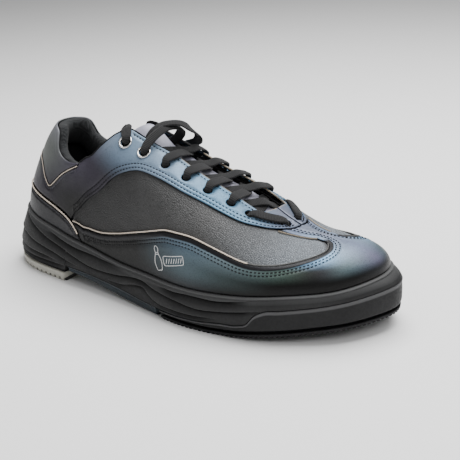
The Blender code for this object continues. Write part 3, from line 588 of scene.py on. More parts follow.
# ---------------------------------------------------------------- materials
class Nodes:
    """Small helper that wires a material's nodes."""

    def __init__(self, name):
        self.material = bpy.data.materials.new(name)
        self.material.use_nodes = True
        self.tree = self.material.node_tree
        self.shader = self.tree.nodes["Principled BSDF"]
        self.place = self.add('ShaderNodeTexCoord').outputs["Object"]

    def add(self, kind, inputs=None, **settings):
        """A node with its settings; inputs holds values or links by the name or number of the socket."""
        node = self.tree.nodes.new(kind)
        for key, value in settings.items():
            setattr(node, key, value)
        for key, source in (inputs or {}).items():
            self.link(source, node.inputs[key])
        return node

    def link(self, source, target):
        if isinstance(source, bpy.types.NodeSocket):
            self.tree.links.new(source, target)
        elif isinstance(source, tuple) and target.type == 'RGBA':
            target.default_value = (*source, 1)
        else:
            target.default_value = source

    def noise(self, scale, detail=3.0, rough=0.5, vector=None):
        inputs = {"Vector": vector or self.place, "Scale": scale, "Detail": detail, "Roughness": rough}
        return self.add('ShaderNodeTexNoise', inputs).outputs["Fac"]

    def cells(self, scale, feature='F1', vector=None):
        inputs = {"Vector": vector or self.place, "Scale": scale}
        return self.add('ShaderNodeTexVoronoi', inputs, feature=feature).outputs["Distance"]

    def maths(self, kind, a, b=0.0):
        return self.add('ShaderNodeMath', {0: a, 1: b}, operation=kind).outputs[0]

    def times(self, a, b):
        return self.maths('MULTIPLY', a, b)

    def range(self, value, low, high, to_low=0.0, to_high=1.0):
        inputs = {"Value": value, "From Min": low, "From Max": high, "To Min": to_low, "To Max": to_high}
        return self.add('ShaderNodeMapRange', inputs).outputs["Result"]

    def mix(self, factor, a, b, kind='MIX'):
        node = self.add('ShaderNodeMix', {0: factor, 6: a, 7: b}, data_type='RGBA', blend_type=kind)
        return node.outputs[2]

    def shaded(self, colour, value):
        """A colour made lighter or darker by a value."""
        return self.mix(1.0, colour, self.mix(value, (0, 0, 0), (1, 1, 1)), 'MULTIPLY')

    def field(self, name, colour=False):
        node = self.add('ShaderNodeAttribute', attribute_name=name)
        return node.outputs["Color" if colour else "Fac"]

    def stretch(self, scale, turn=(0, 0, 0), vector=None):
        inputs = {"Vector": vector or self.place, "Scale": scale, "Rotation": turn}
        return self.add('ShaderNodeMapping', inputs).outputs["Vector"]

    def bump(self, height, strength, distance, normal=None):
        inputs = {"Height": height, "Strength": strength, "Distance": distance}
        if normal:
            inputs["Normal"] = normal
        return self.add('ShaderNodeBump', inputs).outputs["Normal"]

    def finish(self, colour, roughness, normal=None, **constants):
        self.link(colour, self.shader.inputs["Base Color"])
        self.link(roughness, self.shader.inputs["Roughness"])
        if normal:
            self.link(normal, self.shader.inputs["Normal"])
        for key, value in constants.items():
            self.shader.inputs[key.replace("_", " ")].default_value = value
        return self.material


def shift_leather():
    """Coated leather whose colour, with its painted shade and light, comes from the mesh, with a fine
    metallic speckle and grain and two painted highlights along each edge.
    """
    n = Nodes("shift_leather")
    tint = n.field("tint", colour=True)
    value = n.times(n.range(n.noise(1500, 3, 0.75), 0.32, 0.68, 0.55, 1.5),
                    n.range(n.noise(60, 3, 0.6), 0.3, 0.7, 0.9, 1.1))
    edge = n.field("edge")
    # painted highlights: two bands along each edge, about 1.1 and 3.4 mm in, brightened as if they caught the
    # light
    for start, top, end in ((0.5, 1.1, 1.8), (2.5, 3.4, 4.3)):
        painted_highlight = n.times(n.range(edge, start, top), n.range(edge, top, end, 1.0, 0.0))
        value = n.times(value, n.range(painted_highlight, 0.0, 1.0, 1.0, 1.45))
    colour = n.mix(n.range(edge, 0.0, 0.5, 0.35, 0.0), n.shaded(tint, value), (0.02, 0.02, 0.022))
    grain = n.maths('ADD', n.noise(1500, 4, 0.65), n.times(n.cells(1100), 0.6))
    creases = n.noise(220, 4, 0.6, n.stretch((1, 1, 2.4)))
    normal = n.bump(grain, 0.22, 0.0002, n.bump(creases, 0.12, 0.0008))
    rough = n.range(n.noise(900, 3), 0.3, 0.7, 0.36, 0.5)
    return n.finish(colour, rough, normal, Metallic=0.25, Specular_IOR_Level=0.22)


def plain_leather(name, colour, pale, grain_scale=1500):
    """Leather of one colour, a little darker along its edge."""
    n = Nodes(name)
    base = n.mix(n.range(n.noise(70, 4, 0.6), 0.35, 0.65), colour, pale)
    wear_and_shading = n.range(n.field("edge"), 0.0, 0.8, 0.4, 0.0)
    base = n.mix(wear_and_shading, base, tuple(0.5 * c for c in colour))
    grain = n.maths('ADD', n.noise(grain_scale, 4, 0.65), n.times(n.cells(grain_scale * 0.75), 0.8))
    normal = n.bump(grain, 0.25, 0.0002, n.bump(n.noise(180, 3), 0.15, 0.001))
    return n.finish(base, n.range(n.noise(800, 3), 0.3, 0.7, 0.38, 0.5), normal, Specular_IOR_Level=0.25)


def pebbled_leather():
    """Charcoal leather with a rounded pebble and small slanting wrinkles, smooth and dark at the border, with
    painted shade in the valleys between the pebbles.
    """
    n = Nodes("pebbled_leather")
    tint = n.field("tint", colour=True)
    shake = n.add('ShaderNodeTexNoise', {"Scale": 330, "Vector": n.place})
    small = n.add('ShaderNodeVectorMath', {0: shake.outputs["Color"], "Scale": 0.0011}, operation='SCALE')
    warp = n.add('ShaderNodeVectorMath', {0: n.place, 1: small.outputs[0]}, operation='ADD')
    slant = n.stretch((1.0, 1.0, 1.9), (0, math.radians(-38), 0), warp.outputs[0])
    rounded = n.add('ShaderNodeTexVoronoi', {"Scale": 800, "Vector": slant}, feature='SMOOTH_F1')
    rounded.inputs["Smoothness"].default_value = 0.35
    pebble = rounded.outputs["Distance"]
    valley = n.range(n.cells(800, 'DISTANCE_TO_EDGE', slant), 0.0, 0.18, 1.0, 0.0)
    fine = n.noise(2600, 3, 0.6)
    band = n.range(n.field("edge"), 2.2, 3.4, 1.0, 0.0)
    tone = n.shaded(tint, n.range(n.noise(45, 3), 0.35, 0.65, 0.85, 1.15))
    # painted shade: darker in the narrow valleys between the pebbles
    tone = n.mix(n.times(valley, 0.7), tone, (0.01, 0.01, 0.011))
    tone = n.mix(n.times(band, 0.85), tone, (0.02, 0.02, 0.021))
    height = n.maths('SUBTRACT', n.times(fine, 0.15), n.maths('ADD', pebble, n.times(valley, 0.5)))
    height = n.times(height, n.maths('SUBTRACT', 1.0, n.times(band, 0.9)))
    return n.finish(tone, n.range(fine, 0.3, 0.7, 0.42, 0.58), n.bump(height, 0.7, 0.0005),
                    Specular_IOR_Level=0.35)


def knit(name, colour, pale, scale, bump=0.8):
    """Knitted cloth from crossing waves in space, so that it needs no flattening."""
    n = Nodes(name)
    waves = []
    for degrees in ((0, 0, 35), (0, 55, -40), (60, 0, 0)):
        turned = n.stretch((1, 1, 1), tuple(math.radians(d) for d in degrees))
        inputs = {"Scale": scale / 3, "Distortion": 1.2, "Detail": 1.0, "Detail Scale": 2.0, "Vector": turned}
        waves.append(n.add('ShaderNodeTexWave', inputs, wave_type='BANDS').outputs["Fac"])
    weave = n.times(n.times(waves[0], waves[1]), n.maths('ADD', waves[2], 0.4))
    height = n.maths('ADD', weave, n.times(n.noise(2600, 3, 0.7), 0.5))
    base = n.mix(n.range(height, 0.1, 0.9), colour, pale)
    return n.finish(base, 0.9, n.bump(height, bump, 0.0005), Sheen_Weight=0.06, Sheen_Roughness=0.5,
                    Specular_IOR_Level=0.15)


def woven_lace():
    """Flat braid: two sets of slanting yarns over each other along the lace."""
    n = Nodes("woven_lace")
    uv = n.add('ShaderNodeUVMap', uv_map="thread").outputs["UV"]
    split = n.add('ShaderNodeSeparateXYZ', {0: uv})
    slant = n.times(split.outputs[1], 20.0)
    yarns = [n.maths('SINE', n.times(n.maths(kind, split.outputs[0], slant), 3.0))
             for kind in ('ADD', 'SUBTRACT')]
    weave = n.range(n.times(*yarns), -1, 1)
    height = n.maths('ADD', weave, n.times(n.noise(3000, 3, 0.7), 0.5))
    base = n.mix(n.range(height, 0.2, 1.2), (0.005, 0.005, 0.0055), (0.032, 0.032, 0.033))
    return n.finish(base, 0.85, n.bump(height, 0.85, 0.0005), Sheen_Weight=0.08, Sheen_Roughness=0.45,
                    Specular_IOR_Level=0.15)


def moulded(name, colour, pale, rough=(0.5, 0.68), bump=0.3, *, wear_and_shading, **constants):
    """Moulded rubber or plastic with a fine spark texture, a second tone where a mesh field marks wear and
    painted light and shade, and painted shade in its grooves.
    """
    n = Nodes(name)
    base = n.mix(n.range(n.noise(55, 4, 0.6), 0.35, 0.65), colour, pale)
    speck = n.range(n.noise(2600, 2, 0.6), 0.62, 0.72, 0.0, 0.35)
    base = n.mix(speck, base, tuple(min(1, 1.6 * c) for c in pale))
    # second tone from a mesh field: real wear on the cup's rim, a lighter lip and painted highlights on the
    # midsole, a lighter line on the shank's ridge and painted shade in the heel pad's notches
    base = n.mix(n.field("wear_and_shading_field"), base, wear_and_shading)
    # painted shade: darker where a mesh field marks the grooves under the midsole's layers
    base = n.mix(n.field("groove_shade"), base, tuple(0.15 * c for c in colour))
    normal = n.bump(n.noise(1300, 4, 0.6), bump, 0.0002)
    return n.finish(base, n.range(n.noise(700, 3), 0.3, 0.7, *rough), normal, **constants)


def metal(name, colour):
    """Polished metal with fine scratches."""
    n = Nodes(name)
    scratches = n.noise(900, 4, 0.7, n.stretch((1, 1, 14)))
    base = n.mix(n.range(n.noise(300, 3), 0.3, 0.7), colour, tuple(0.85 * c for c in colour))
    rough = n.range(scratches, 0.3, 0.7, 0.12, 0.3)
    return n.finish(base, rough, n.bump(scratches, 0.08, 0.0001), Metallic=1.0)


def thread(name, colour, pale):
    """Twisted yarn, also used for paint and fibre board."""
    n = Nodes(name)
    twist = n.noise(2400, 2, 0.6, n.stretch((1, 1, 3)))
    base = n.mix(n.range(twist, 0.35, 0.65), colour, pale)
    return n.finish(base, 0.75, n.bump(twist, 0.5, 0.0002), Specular_IOR_Level=0.2)


LEATHER = shift_leather()
PEBBLED = pebbled_leather()
BLACK_LEATHER = plain_leather("black_leather", (0.007, 0.007, 0.009), (0.013, 0.013, 0.016))
PALE_LEATHER = plain_leather("pale_leather", (0.25, 0.25, 0.31), (0.36, 0.36, 0.42), 1300)
COLLAR_KNIT = knit("collar_knit", (0.006, 0.006, 0.007), (0.05, 0.053, 0.055), 1000)
LINING_KNIT = knit("lining_knit", (0.003, 0.003, 0.004), (0.012, 0.012, 0.013), 1100, 0.6)
FOOTBED_KNIT = knit("footbed_knit", (0.006, 0.006, 0.007), (0.022, 0.022, 0.025), 1000, 0.6)
LACE = woven_lace()
MIDSOLE = moulded("midsole_rubber", (0.009, 0.009, 0.0095), (0.015, 0.0152, 0.0155),
                  wear_and_shading=(0.07, 0.071, 0.072), Specular_IOR_Level=0.22)
CUP = moulded("cup_rubber", (0.005, 0.005, 0.0055), (0.009, 0.009, 0.0095), wear_and_shading=(0.06, 0.06, 0.062),
              Specular_IOR_Level=0.22)
TREAD = moulded("tread_rubber", (0.006, 0.006, 0.0065), (0.011, 0.011, 0.012), bump=0.5,
                wear_and_shading=(0.03, 0.03, 0.03), Specular_IOR_Level=0.2)
# the near-black second tone is painted shade in the brake pad's notches
HEEL = moulded("heel_rubber", (0.40, 0.39, 0.34), (0.5, 0.49, 0.43), (0.6, 0.75), wear_and_shading=(0.004, 0.004, 0.004))
SHANK = moulded("shank_plastic", (0.004, 0.010, 0.015), (0.008, 0.018, 0.026), (0.32, 0.45), bump=0.12,
                wear_and_shading=(0.06, 0.07, 0.08), Specular_IOR_Level=0.25)
STEEL = metal("polished_steel", (0.86, 0.85, 0.83))
PIPING = thread("cream_piping", (0.50, 0.42, 0.35), (0.66, 0.58, 0.49))
GREY_CORD = thread("grey_cord", (0.07, 0.07, 0.07), (0.14, 0.14, 0.135))
RAW_EDGE = thread("raw_edge", (0.22, 0.18, 0.13), (0.42, 0.36, 0.28))
DARK_THREAD = thread("dark_thread", (0.004, 0.004, 0.005), (0.014, 0.014, 0.016))
GREY_THREAD = thread("grey_thread", (0.04, 0.04, 0.05), (0.12, 0.12, 0.14))
BLACK_CORD = thread("black_cord", (0.005, 0.005, 0.006), (0.014, 0.014, 0.015))
MARK = thread("mark_paint", (0.62, 0.62, 0.62), (0.74, 0.74, 0.74))
BOARD = thread("fibre_board", (0.02, 0.018, 0.015), (0.04, 0.035, 0.028))

# ---------------------------------------------------------------- colour of the coated leather, with painted shade and light
# the two darkest colours below are painted shade for the low sides of the upper
INK_SHADE = (.003, .003, .003)
DUSK_SHADE = (.017, .018, .020)
GUNMETAL = (.039, .036, .046)
DEEP_TEAL = (.028, .042, .044)
SLATE = (.058, .086, .10)
PLUM = (.058, .052, .074)
SEA = (.073, .11, .098)
NAVY = (.035, .078, .17)
OCEAN = (.09, .18, .27)
STEEL_BLUE = (.11, .16, .21)
HAZE = (.13, .15, .20)
FROST = (.17, .23, .26)
SKY = (.18, .25, .34)
AZURE = (.17, .35, .56)
LILAC = (.25, .25, .29)
HEATHER = (.12, .12, .18)
MAUVE = (.15, .18, .26)
ASH = (.14, .15, .145)

# for stations from the heel to the toe, the colours at these rises: the leather's own shift of hue, with
# painted shade that makes the low sides near black and painted light that makes the upper parts paler
TINT_RISES = (0.0, 0.15, 0.35, 0.6, 1.0)
TINTS_AND_SHADING = [
    (0.0, DUSK_SHADE, GUNMETAL, ASH, ASH, ASH),
    (2.0, DUSK_SHADE, GUNMETAL, ASH, LILAC, LILAC),
    (3.4, INK_SHADE, INK_SHADE, PLUM, LILAC, FROST),
    (4.2, INK_SHADE, INK_SHADE, GUNMETAL, SKY, SLATE),
    (5.0, INK_SHADE, INK_SHADE, GUNMETAL, SKY, SLATE),
    (6.2, DUSK_SHADE, SLATE, STEEL_BLUE, OCEAN, OCEAN),
    (7.2, INK_SHADE, DEEP_TEAL, FROST, OCEAN, HAZE),
    (8.4, INK_SHADE, INK_SHADE, SEA, NAVY, HAZE),
    (9.4, INK_SHADE, INK_SHADE, DUSK_SHADE, AZURE, HAZE),
    (10.2, INK_SHADE, INK_SHADE, SLATE, SKY, HAZE),
    (11.0, INK_SHADE, DUSK_SHADE, HEATHER, MAUVE, HAZE),
]


def leather_tint_and_shading(flat):
    """Colour of each point, the same on both sides of the shoe: the leather's own hue with painted shade low
    on the sides and painted light higher up.
    """
    station, rise = from_heel(flat[:, 0]), np.clip(flat[:, 1], 0, 1)
    stations = [row[0] for row in TINTS_AND_SHADING]
    levels = []
    for column in range(1, len(TINT_RISES) + 1):
        channels = np.array([row[column] for row in TINTS_AND_SHADING]).T
        levels.append(np.stack([along(list(zip(stations, channel)), station) for channel in channels], -1))
    colour = levels[0]
    for k, (low, high) in enumerate(zip(TINT_RISES, TINT_RISES[1:])):
        share = ease(np.clip((rise - low) / (high - low), 0, 1))
        colour = colour + (levels[k + 1] - levels[k]) * share[:, None]
    return np.clip(colour, 0.003, 1)


# ---------------------------------------------------------------- seams and their stitch rows
def cut(curve, low, high):
    """The points of a curve between two stations."""
    return [p for p in curve if low <= p[0] <= high]


SPLIT = 0.01     # half the width, in rise, of the gap between two panels
FOOT = 0.002     # rise of the panels' lower ends
INLAY_HIGH = smooth(raised(INLAY_TOP, SPLIT))
INLAY_LOW = smooth(raised(INLAY_BOTTOM, -SPLIT))
QUARTER_EDGE = cut(INLAY_HIGH, 3.4, 7.3) + cut(smooth(EYESTAY_FRONT), 7.4, 8.3)
TAIL = [(3.37, .068), (3.5, .07)]
VAMP_EDGE = TAIL + INLAY_LOW[::-1] + [(10.02, .80)] + cut(INLAY_HIGH, 7.9, 10.2)[::-1]
HEEL_EDGE = cut(smooth(HEEL_TOP), 0, 3.5)


def within(row, low=0.012, high=0.995):
    """The points of a row that are clear of the midsole and of the ridge."""
    return [tuple(p) for p in row if low < p[1] < high]


QUARTER_ROWS = [within(shifted(QUARTER_EDGE, d)) for d in (2.0, 4.8)]
VAMP_ROWS = [within(shifted(cut(VAMP_EDGE, 3.6, 11), -d)) for d in (4.4, 6.6)]
BAND_ROWS = [within(shifted(cut(VAMP_EDGE, 3.4, 11), -d)) for d in (2.6, 3.15, 3.7)]
EYESTAY_ROWS = [within(shifted(cut(smooth(EYESTAY_EDGE), 4.16, 7.18), -2.4))]
HEEL_ROWS = [within(shifted(HEEL_EDGE, -3.2))]
COLLAR_ROWS = [within(shifted(cut(smooth(COLLAR_POINT), 0.1, 3.3), -3.0))]


def both(rows):
    """The rows of one side and of the other."""
    return rows + [opposite(row) for row in rows]


def both_ends(rows):
    """Rows that start at the heel, with their twins on the inner side."""
    return rows + [[(-s, r) for s, r in row] for row in rows]


def lines_of(rows):
    """Dense points in space along rows of places."""
    return np.vstack([even(on_skin(r), 0.6) for r in rows])


def groove(points, rows, width=0.6, depth=0.42, puff=0.28):
    """Stitch rows pull the leather in, and it puffs up between and beside them."""
    d = nearest(points, lines_of(rows))
    return depth * np.exp(-(d / width) ** 2) - puff * np.exp(-((d - 1.5) / 0.9) ** 2)


# ---------------------------------------------------------------- upper
def make_quarters():
    """Side panels from the heel to the throat, with the eyelet holes."""
    back = 0.04
    outer = ([(back, .13)] + cut(smooth(raised(HEEL_TOP, 0.01)), back, 3.3) + cut(INLAY_HIGH, 3.4, 7.3)
             + cut(smooth(EYESTAY_FRONT), 7.4, 8.35) + [(8.34, 0.995), (7.26, 0.995)]
             + smooth(EYESTAY_EDGE)[::-1] + cut(smooth(COLLAR_RIM), 3.45, 5)[::-1]
             + cut(smooth(raised(COLLAR_POINT, -0.012)), back, 4)[::-1] + [(back, .318)])
    for side in SIDES:
        seams = [on(side, row) for row in QUARTER_ROWS + EYESTAY_ROWS + COLLAR_ROWS]
        holes = on(side, EYELETS + [SLOT])
        centres = on_skin(holes)

        def dimple(points, edge, centres=centres):
            return 0.35 * np.exp(-((nearest(points, centres) - HOLE_RADIUS) / 1.3) ** 2)
        leather_sheet(f"quarter_leather_{side}", outline_on(side, outer), LEATHER,
                      seams=seams, holes=holes, relief=dimple, tint=leather_tint_and_shading,
                      replaces=[f"quarter_{side}"], slot="leather")


def make_vamp():
    """One panel over the toe, joined on the ridge, with a dark sewn-down band along its seam."""
    throat = [(s + 0.06, r) for s, r in cut(smooth(EYESTAY_FRONT), 7.9, 8.35)]
    ridge = [(s, 1.0) for s in np.linspace(8.42, HALF, 130)]
    half = [(3.585, FOOT), (3.47, .045)] + VAMP_EDGE + throat + ridge
    outline = half + inner_side(half)[1:]
    outline += spread(outline[-1], outline[0], 30)[1:]
    band = lines_of(both([cut(VAMP_EDGE, 3.3, 10.3)]))
    band_width = 3.15

    def step(points, edge):
        return 0.35 * np.exp(-((nearest(points, band) - band_width - 0.05) / 0.5) ** 2)

    def tint(flat):
        d = nearest(on_skin(flat), band)
        cover = np.clip((band_width - d) / 0.3, 0, 1) * (1 - np.clip((flat[:, 1] - 0.80) / 0.03, 0, 1))
        cover = cover[:, None]
        return leather_tint_and_shading(flat) * (1 - cover) + np.array([.010, .010, .012]) * cover
    leather_sheet("vamp_leather", outline, LEATHER, seams=both(VAMP_ROWS), rows=both(BAND_ROWS), relief=step,
                  weld=True, tint=tint, replaces=["vamp_panel"], slot="leather")


def make_heel_and_collar():
    heel_foot = 3.56
    bottom = spread((heel_foot, FOOT), (-heel_foot, FOOT), 14)[1:]
    leather_sheet("heel_counter", bottom + around(smooth(raised(HEEL_TOP, -SPLIT))), BLACK_LEATHER,
                  seams=both_ends(HEEL_ROWS), replaces=["heel_counter_panel"], slot="black_leather")
    low = smooth(COLLAR_POINT)
    outline = around(cut(smooth(COLLAR_RIM), 0, 3.36)) + low[::-1] + [(-s, r) for s, r in low[1:]]
    leather_sheet("collar_leather", outline, LEATHER, tint=leather_tint_and_shading,
                  relief=lambda points, edge: -0.5 * np.clip(edge / 9, 0, 1),
                  replaces=["collar_panel"], slot="leather")


# charcoal of the inlay along the stations: partly its own tone and partly painted light, paler where it faces
# up towards the toe
INLAY_TINT_AND_LIGHT = [(3.3, .014), (4.5, .028), (5.5, .055), (6.5, .085), (7.5, .12), (8.5, .20), (10.2, .24)]


def inlay_tint_and_light(flat):
    """Charcoal that grows paler, and a little bluer, towards the toe: partly its own tone and partly painted
    light where the inlay faces up.
    """
    station = from_heel(flat[:, 0])
    shade = along(INLAY_TINT_AND_LIGHT, station)
    cool = 1 + 0.12 * np.clip((station - 6.5) / 2, 0, 1)
    return np.stack([shade / cool, shade, shade * cool], -1)


def make_inlays():
    margin = 0.03
    outline = (smooth(raised(INLAY_TOP, margin)) + [(10.16, .83), (10.16, .77)]
               + smooth(raised(INLAY_BOTTOM, -margin)) + [(3.3, .03)])
    outline = [(s, max(r, 0.02)) for s, r in outline]

    def swell(points, edge):
        return -0.55 * np.clip((edge - 3) / 7, 0, 1) + 0.12 * np.sin(points[:, 0] * .23 + points[:, 2] * .31)
    for side in SIDES:
        leather_sheet(f"inlay_pebbled_{side}", outline_on(side, outline), PEBBLED,
                      1.2, 0.9, spacing=2.4, relief=swell, tint=inlay_tint_and_light, replaces=[f"inlay_{side}"],
                      slot="pebbled")


def make_linings():
    foot, heel_end, throat, gap, low = 0.004, 3.3, 7.29, 0.004, -0.012
    options = {"depth": 3.8, "thickness": 0.7, "slot": "textile", "spacing": 4.5, "edge_drop": 0.0}
    rim = smooth(raised(COLLAR_RIM, low))
    corner = (-heel_end + gap, foot)
    heel = spread((heel_end - gap, foot), corner, 14) + [corner] + around(cut(rim, 0, heel_end - 0.001))
    leather_sheet("heel_lining_cloth", heel, LINING_KNIT, replaces=["heel_lining"], **options)
    quarter = (spread((heel_end + gap, foot), (throat, foot), 8) + spread((throat, foot), (throat, 0.80), 4)
               + cut(smooth(raised(EYESTAY_EDGE, low)), 4, throat - 0.02)[::-1]
               + cut(rim, heel_end + 0.05, 5)[::-1] + [(heel_end + 0.02, 0.328)])
    for side in SIDES:
        leather_sheet(f"quarter_lining_cloth_{side}", outline_on(side, quarter),
                      LINING_KNIT, holes=on(side, EYELETS), replaces=[f"quarter_lining_{side}"], **options)


# ---------------------------------------------------------------- soft pads
def simulate(thing, voxel, pressure, cap, frames=20):
    """Blows a closed pad up as cloth, at most cap millimetres, and keeps the result in its mesh."""
    remesh = thing.modifiers.new("even mesh", 'REMESH')
    remesh.mode = 'VOXEL'
    remesh.voxel_size = voxel * MM
    apply_modifiers(thing)
    start = points_of(thing)
    cloth = thing.modifiers.new("pad", 'CLOTH')
    settings = {"quality": 5, "mass": 0.2, "tension_stiffness": 12, "compression_stiffness": 12,
                "shear_stiffness": 6, "bending_stiffness": 0.4, "use_pressure": True,
                "uniform_pressure_force": pressure}
    for key, value in settings.items():
        setattr(cloth.settings, key, value)
    cloth.settings.effector_weights.gravity = 0
    cloth.point_cache.frame_start = 1
    cloth.point_cache.frame_end = frames
    for number in range(1, frames + 1):
        bpy.context.scene.frame_set(number)
    apply_modifiers(thing)
    bpy.context.scene.frame_set(1)
    delta = points_of(thing) - start
    length = np.linalg.norm(delta, axis=1, keepdims=True)
    set_points(thing, start + delta * np.minimum(1, cap * MM / np.maximum(length, 1e-9)))


def apply_modifiers(thing):
    depsgraph = bpy.context.evaluated_depsgraph_get()
    fresh = bpy.data.meshes.new_from_object(thing.evaluated_get(depsgraph))
    old = thing.data
    thing.modifiers.clear()
    thing.data = fresh
    fresh.name = old.name
    bpy.data.meshes.remove(old)


def points_of(thing):
    out = np.zeros(len(thing.data.vertices) * 3, np.float32)
    thing.data.vertices.foreach_get("co", out)
    return out.reshape(-1, 3).astype(float)


def set_points(thing, points):
    thing.data.vertices.foreach_set("co", points.astype(np.float32).ravel())
    thing.data.update()


def soften(thing):
    thing.data.shade_smooth()
    extra = thing.modifiers.new("smooth", 'SUBSURF')
    extra.levels = extra.render_levels = 1


def make_collar():
    """Padded roll round the ankle: over the leather's edge and down inside."""
    rings = []
    for s in np.linspace(-3.86, 3.86, 130):
        r = along(COLLAR_RIM, abs(s))
        f = np.clip((abs(s) - 2.6) / 1.2, 0, 1)
        top, n = skin(s, r), outward(s, r)
        up = unit(top - skin(s, r - 0.02))
        up = unit(up - n * (up @ n))
        shape = [(1.5, -1.0), (1.4, 0.8), (2.6, 2.2 - 2.4 * f), (5.2, 2.7 - 2.6 * f),
                 (7.8 - 1.6 * f, 1.6 - 2.4 * f), (9.6 - 3 * f, -2.6 - 1.2 * f), (9.9 - 3.2 * f, -9),
                 (9.2 - 3.2 * f, -16), (7.6 - 2.6 * f, -23), (5.6 - 1.4 * f, -24), (4.9, -20), (4.8, -13),
                 (4.7, -7), (2.4, -3.2)]
        rings.append([top - n * d + up * h for d, h in catmull(shape + shape[:1], 2)[:-1]])
    pad = loft("collar_roll", rings, COLLAR_KNIT, slot="textile", replaces=["collar_foam", "collar_lining"])
    simulate(pad, 2.6, 3.0, 1.2)
    soften(pad)


def make_tongue():
    """Padded tongue between the eyestays, thin along its borders, with a channel beside each edge."""
    end, half_count = 3.84, 15
    edge_line = [(end, .93), (3.95, .80), (4.2, .70), (4.6, .655), (5.2, .645), (6, .66), (7, .69),
                 (7.6, .72)]
    t = np.linspace(-1, 1, 2 * half_count - 1)
    crown = np.clip(np.sqrt(1 - t ** 4), 0.12, 1)
    channel = 0.5 * np.exp(-((np.abs(t) - 0.86) / 0.05) ** 2)
    rings = []
    for s in np.concatenate([np.linspace(end, 4.5, 10), np.linspace(4.6, 7.55, 30)]):
        outer = np.linspace(along(edge_line, s), 1, half_count)
        rise = np.concatenate([outer, outer[-2::-1]])
        station = np.where(np.arange(len(t)) < half_count, s, STATIONS - s)
        half = TONGUE_HALF * crown * max(0.2, np.clip((s - end) / 0.25, 0, 1) ** 0.5)
        flare = TONGUE_FLARE * np.clip((4.75 - s) / 0.55, 0, 1) ** 1.5 * (1 - np.abs(t) ** 1.3)
        top = under(station, rise, TONGUE_MIDDLE - half + channel - flare)
        bottom = under(station, rise, TONGUE_MIDDLE + half * 0.95 - flare)
        rings.append(np.vstack([top, bottom[::-1]]))
    pad = loft("tongue_pad", rings, PALE_LEATHER, body="tongue_body", slot="pale_leather",
               replaces=["tongue_shell", "tongue_foam", "tongue_lining"])
    simulate(pad, 2.2, 2.5, 0.8)
    layer = pad.data.attributes.new("edge", 'FLOAT', 'POINT')
    layer.data.foreach_set("value", np.full(len(pad.data.vertices), 3.0, np.float32))
    soften(pad)


# ---------------------------------------------------------------- lace
LACE_WIDTH = 6.9
OVER = 1.5
UNDER = 5.6
# way points of the two slack arcs, from the lower hole's side: (side, station, rise, depth)
LOOSE_ARCS = [
    [(0, 4.69, .70, -3.0), (0, 4.63, .80, -5.5), (0, 4.58, .90, -8.0), (1, 4.60, .97, -7.5),
     (1, 4.66, .90, -4.0), (1, 4.64, .84, 1.5), (1, 4.54, .79, UNDER)],
    [(1, 4.84, .70, -2.2), (1, 4.98, .79, -4.6), (1, 4.97, .88, -7.8), (1, 4.82, .97, -11.0),
     (0, 4.62, .98, -12.0), (0, 4.47, .91, -8.0), (0, 4.42, .86, -3.0), (0, 4.42, .81, 2.2),
     (0, 4.41, .78, UNDER)],
]
TONGUE_MIDDLE = 10.2
TONGUE_HALF = 3.3
TONGUE_FLARE = 5.5


def on_side(side, station, rise, depth):
    return (STATIONS - station if side else station, rise, depth)


def front_slot(side):
    """The lace's start, from under the front slot back along the eyestay."""
    slot, last = SLOT, EYELETS[-1]
    middle = ((slot[0] + last[0]) / 2, (slot[1] + last[1]) / 2)
    points = [(*slot, UNDER), (*slot, 2.5), (slot[0] - 0.08, slot[1] - 0.016, -1.1), (*middle, -1.5)]
    return [on_side(side, *p) for p in points]


def out_of(hole):
    """Way points from under a hole up through it."""
    return [(*hole, UNDER), (*hole, 2.0), (hole[0], hole[1] + 0.004, -1.0)]


def lace_sides(ahead, wanted):
    """Directions across the flat of the lace, steady where it runs straight into the shoe."""
    side = np.cross(ahead, wanted)
    good = np.linalg.norm(side, axis=1) > 0.5
    side = unit(side)
    for k in range(1, len(side)):
        if (side[k] * side[k - 1]).sum() < -0.2 and not good[k]:
            side[k] = side[k - 1]
    index = np.arange(len(side))
    side = sampled(side[good], index[good], index)
    for _ in range(4):
        side = (np.roll(side, 1, 0) + side * 2 + np.roll(side, -1, 0)) / 4
    return unit(side - ahead * (side * ahead).sum(1)[:, None])


def crossing(side, k, under_edge):
    """One strand from hole k on its side up and across to the next hole on the other side."""
    low, high = EYELETS[k], EYELETS[k - 1]
    step = low[0] - high[0]
    if under_edge:
        start = [(low[0] + 0.08, low[1] + 0.016, -1.1), (*low, 2.5), (low[0] - 0.04, low[1] + 0.02, UNDER),
                 (low[0] - 0.1 * step, EDGE_RISE, UNDER)]
        heights = ((5.4, 5.0, 5.5), (5.0, 2.8, 4.6))[side]
    else:
        start = out_of(low) + [(low[0] - 0.03, low[1] + 0.035, -OVER - 0.9),
                                  (low[0] - 0.1 * step, EDGE_RISE, -OVER - 0.4)]
        heights = ((0.6, 4.6, 5.5), (-1.0, 1.8, 4.2))[side]
    start += [(low[0] - 0.25 * step, 0.91, heights[0]), (low[0] - 0.5 * step, 1.0, heights[1])]
    end = [(high[0] + 0.25 * step, 0.91, heights[2]), (high[0] + 0.1 * step, EDGE_RISE, UNDER)]
    return [on_side(side, *p) for p in start] + [on_side(1 - side, *p) for p in end]


def loose_arc(side):
    """The slack last crossing: a high bow over the tongue that leans towards the toe."""
    high = EYELETS[0]
    start = [on_side(side, *p) for p in out_of(EYELETS[1])]
    end = [(high[0] + 0.12, 0.72, UNDER), (high[0] + 0.04, 0.66, UNDER)]
    return start + [on_side(*way) for way in LOOSE_ARCS[side]] + [on_side(1 - side, *p) for p in end]


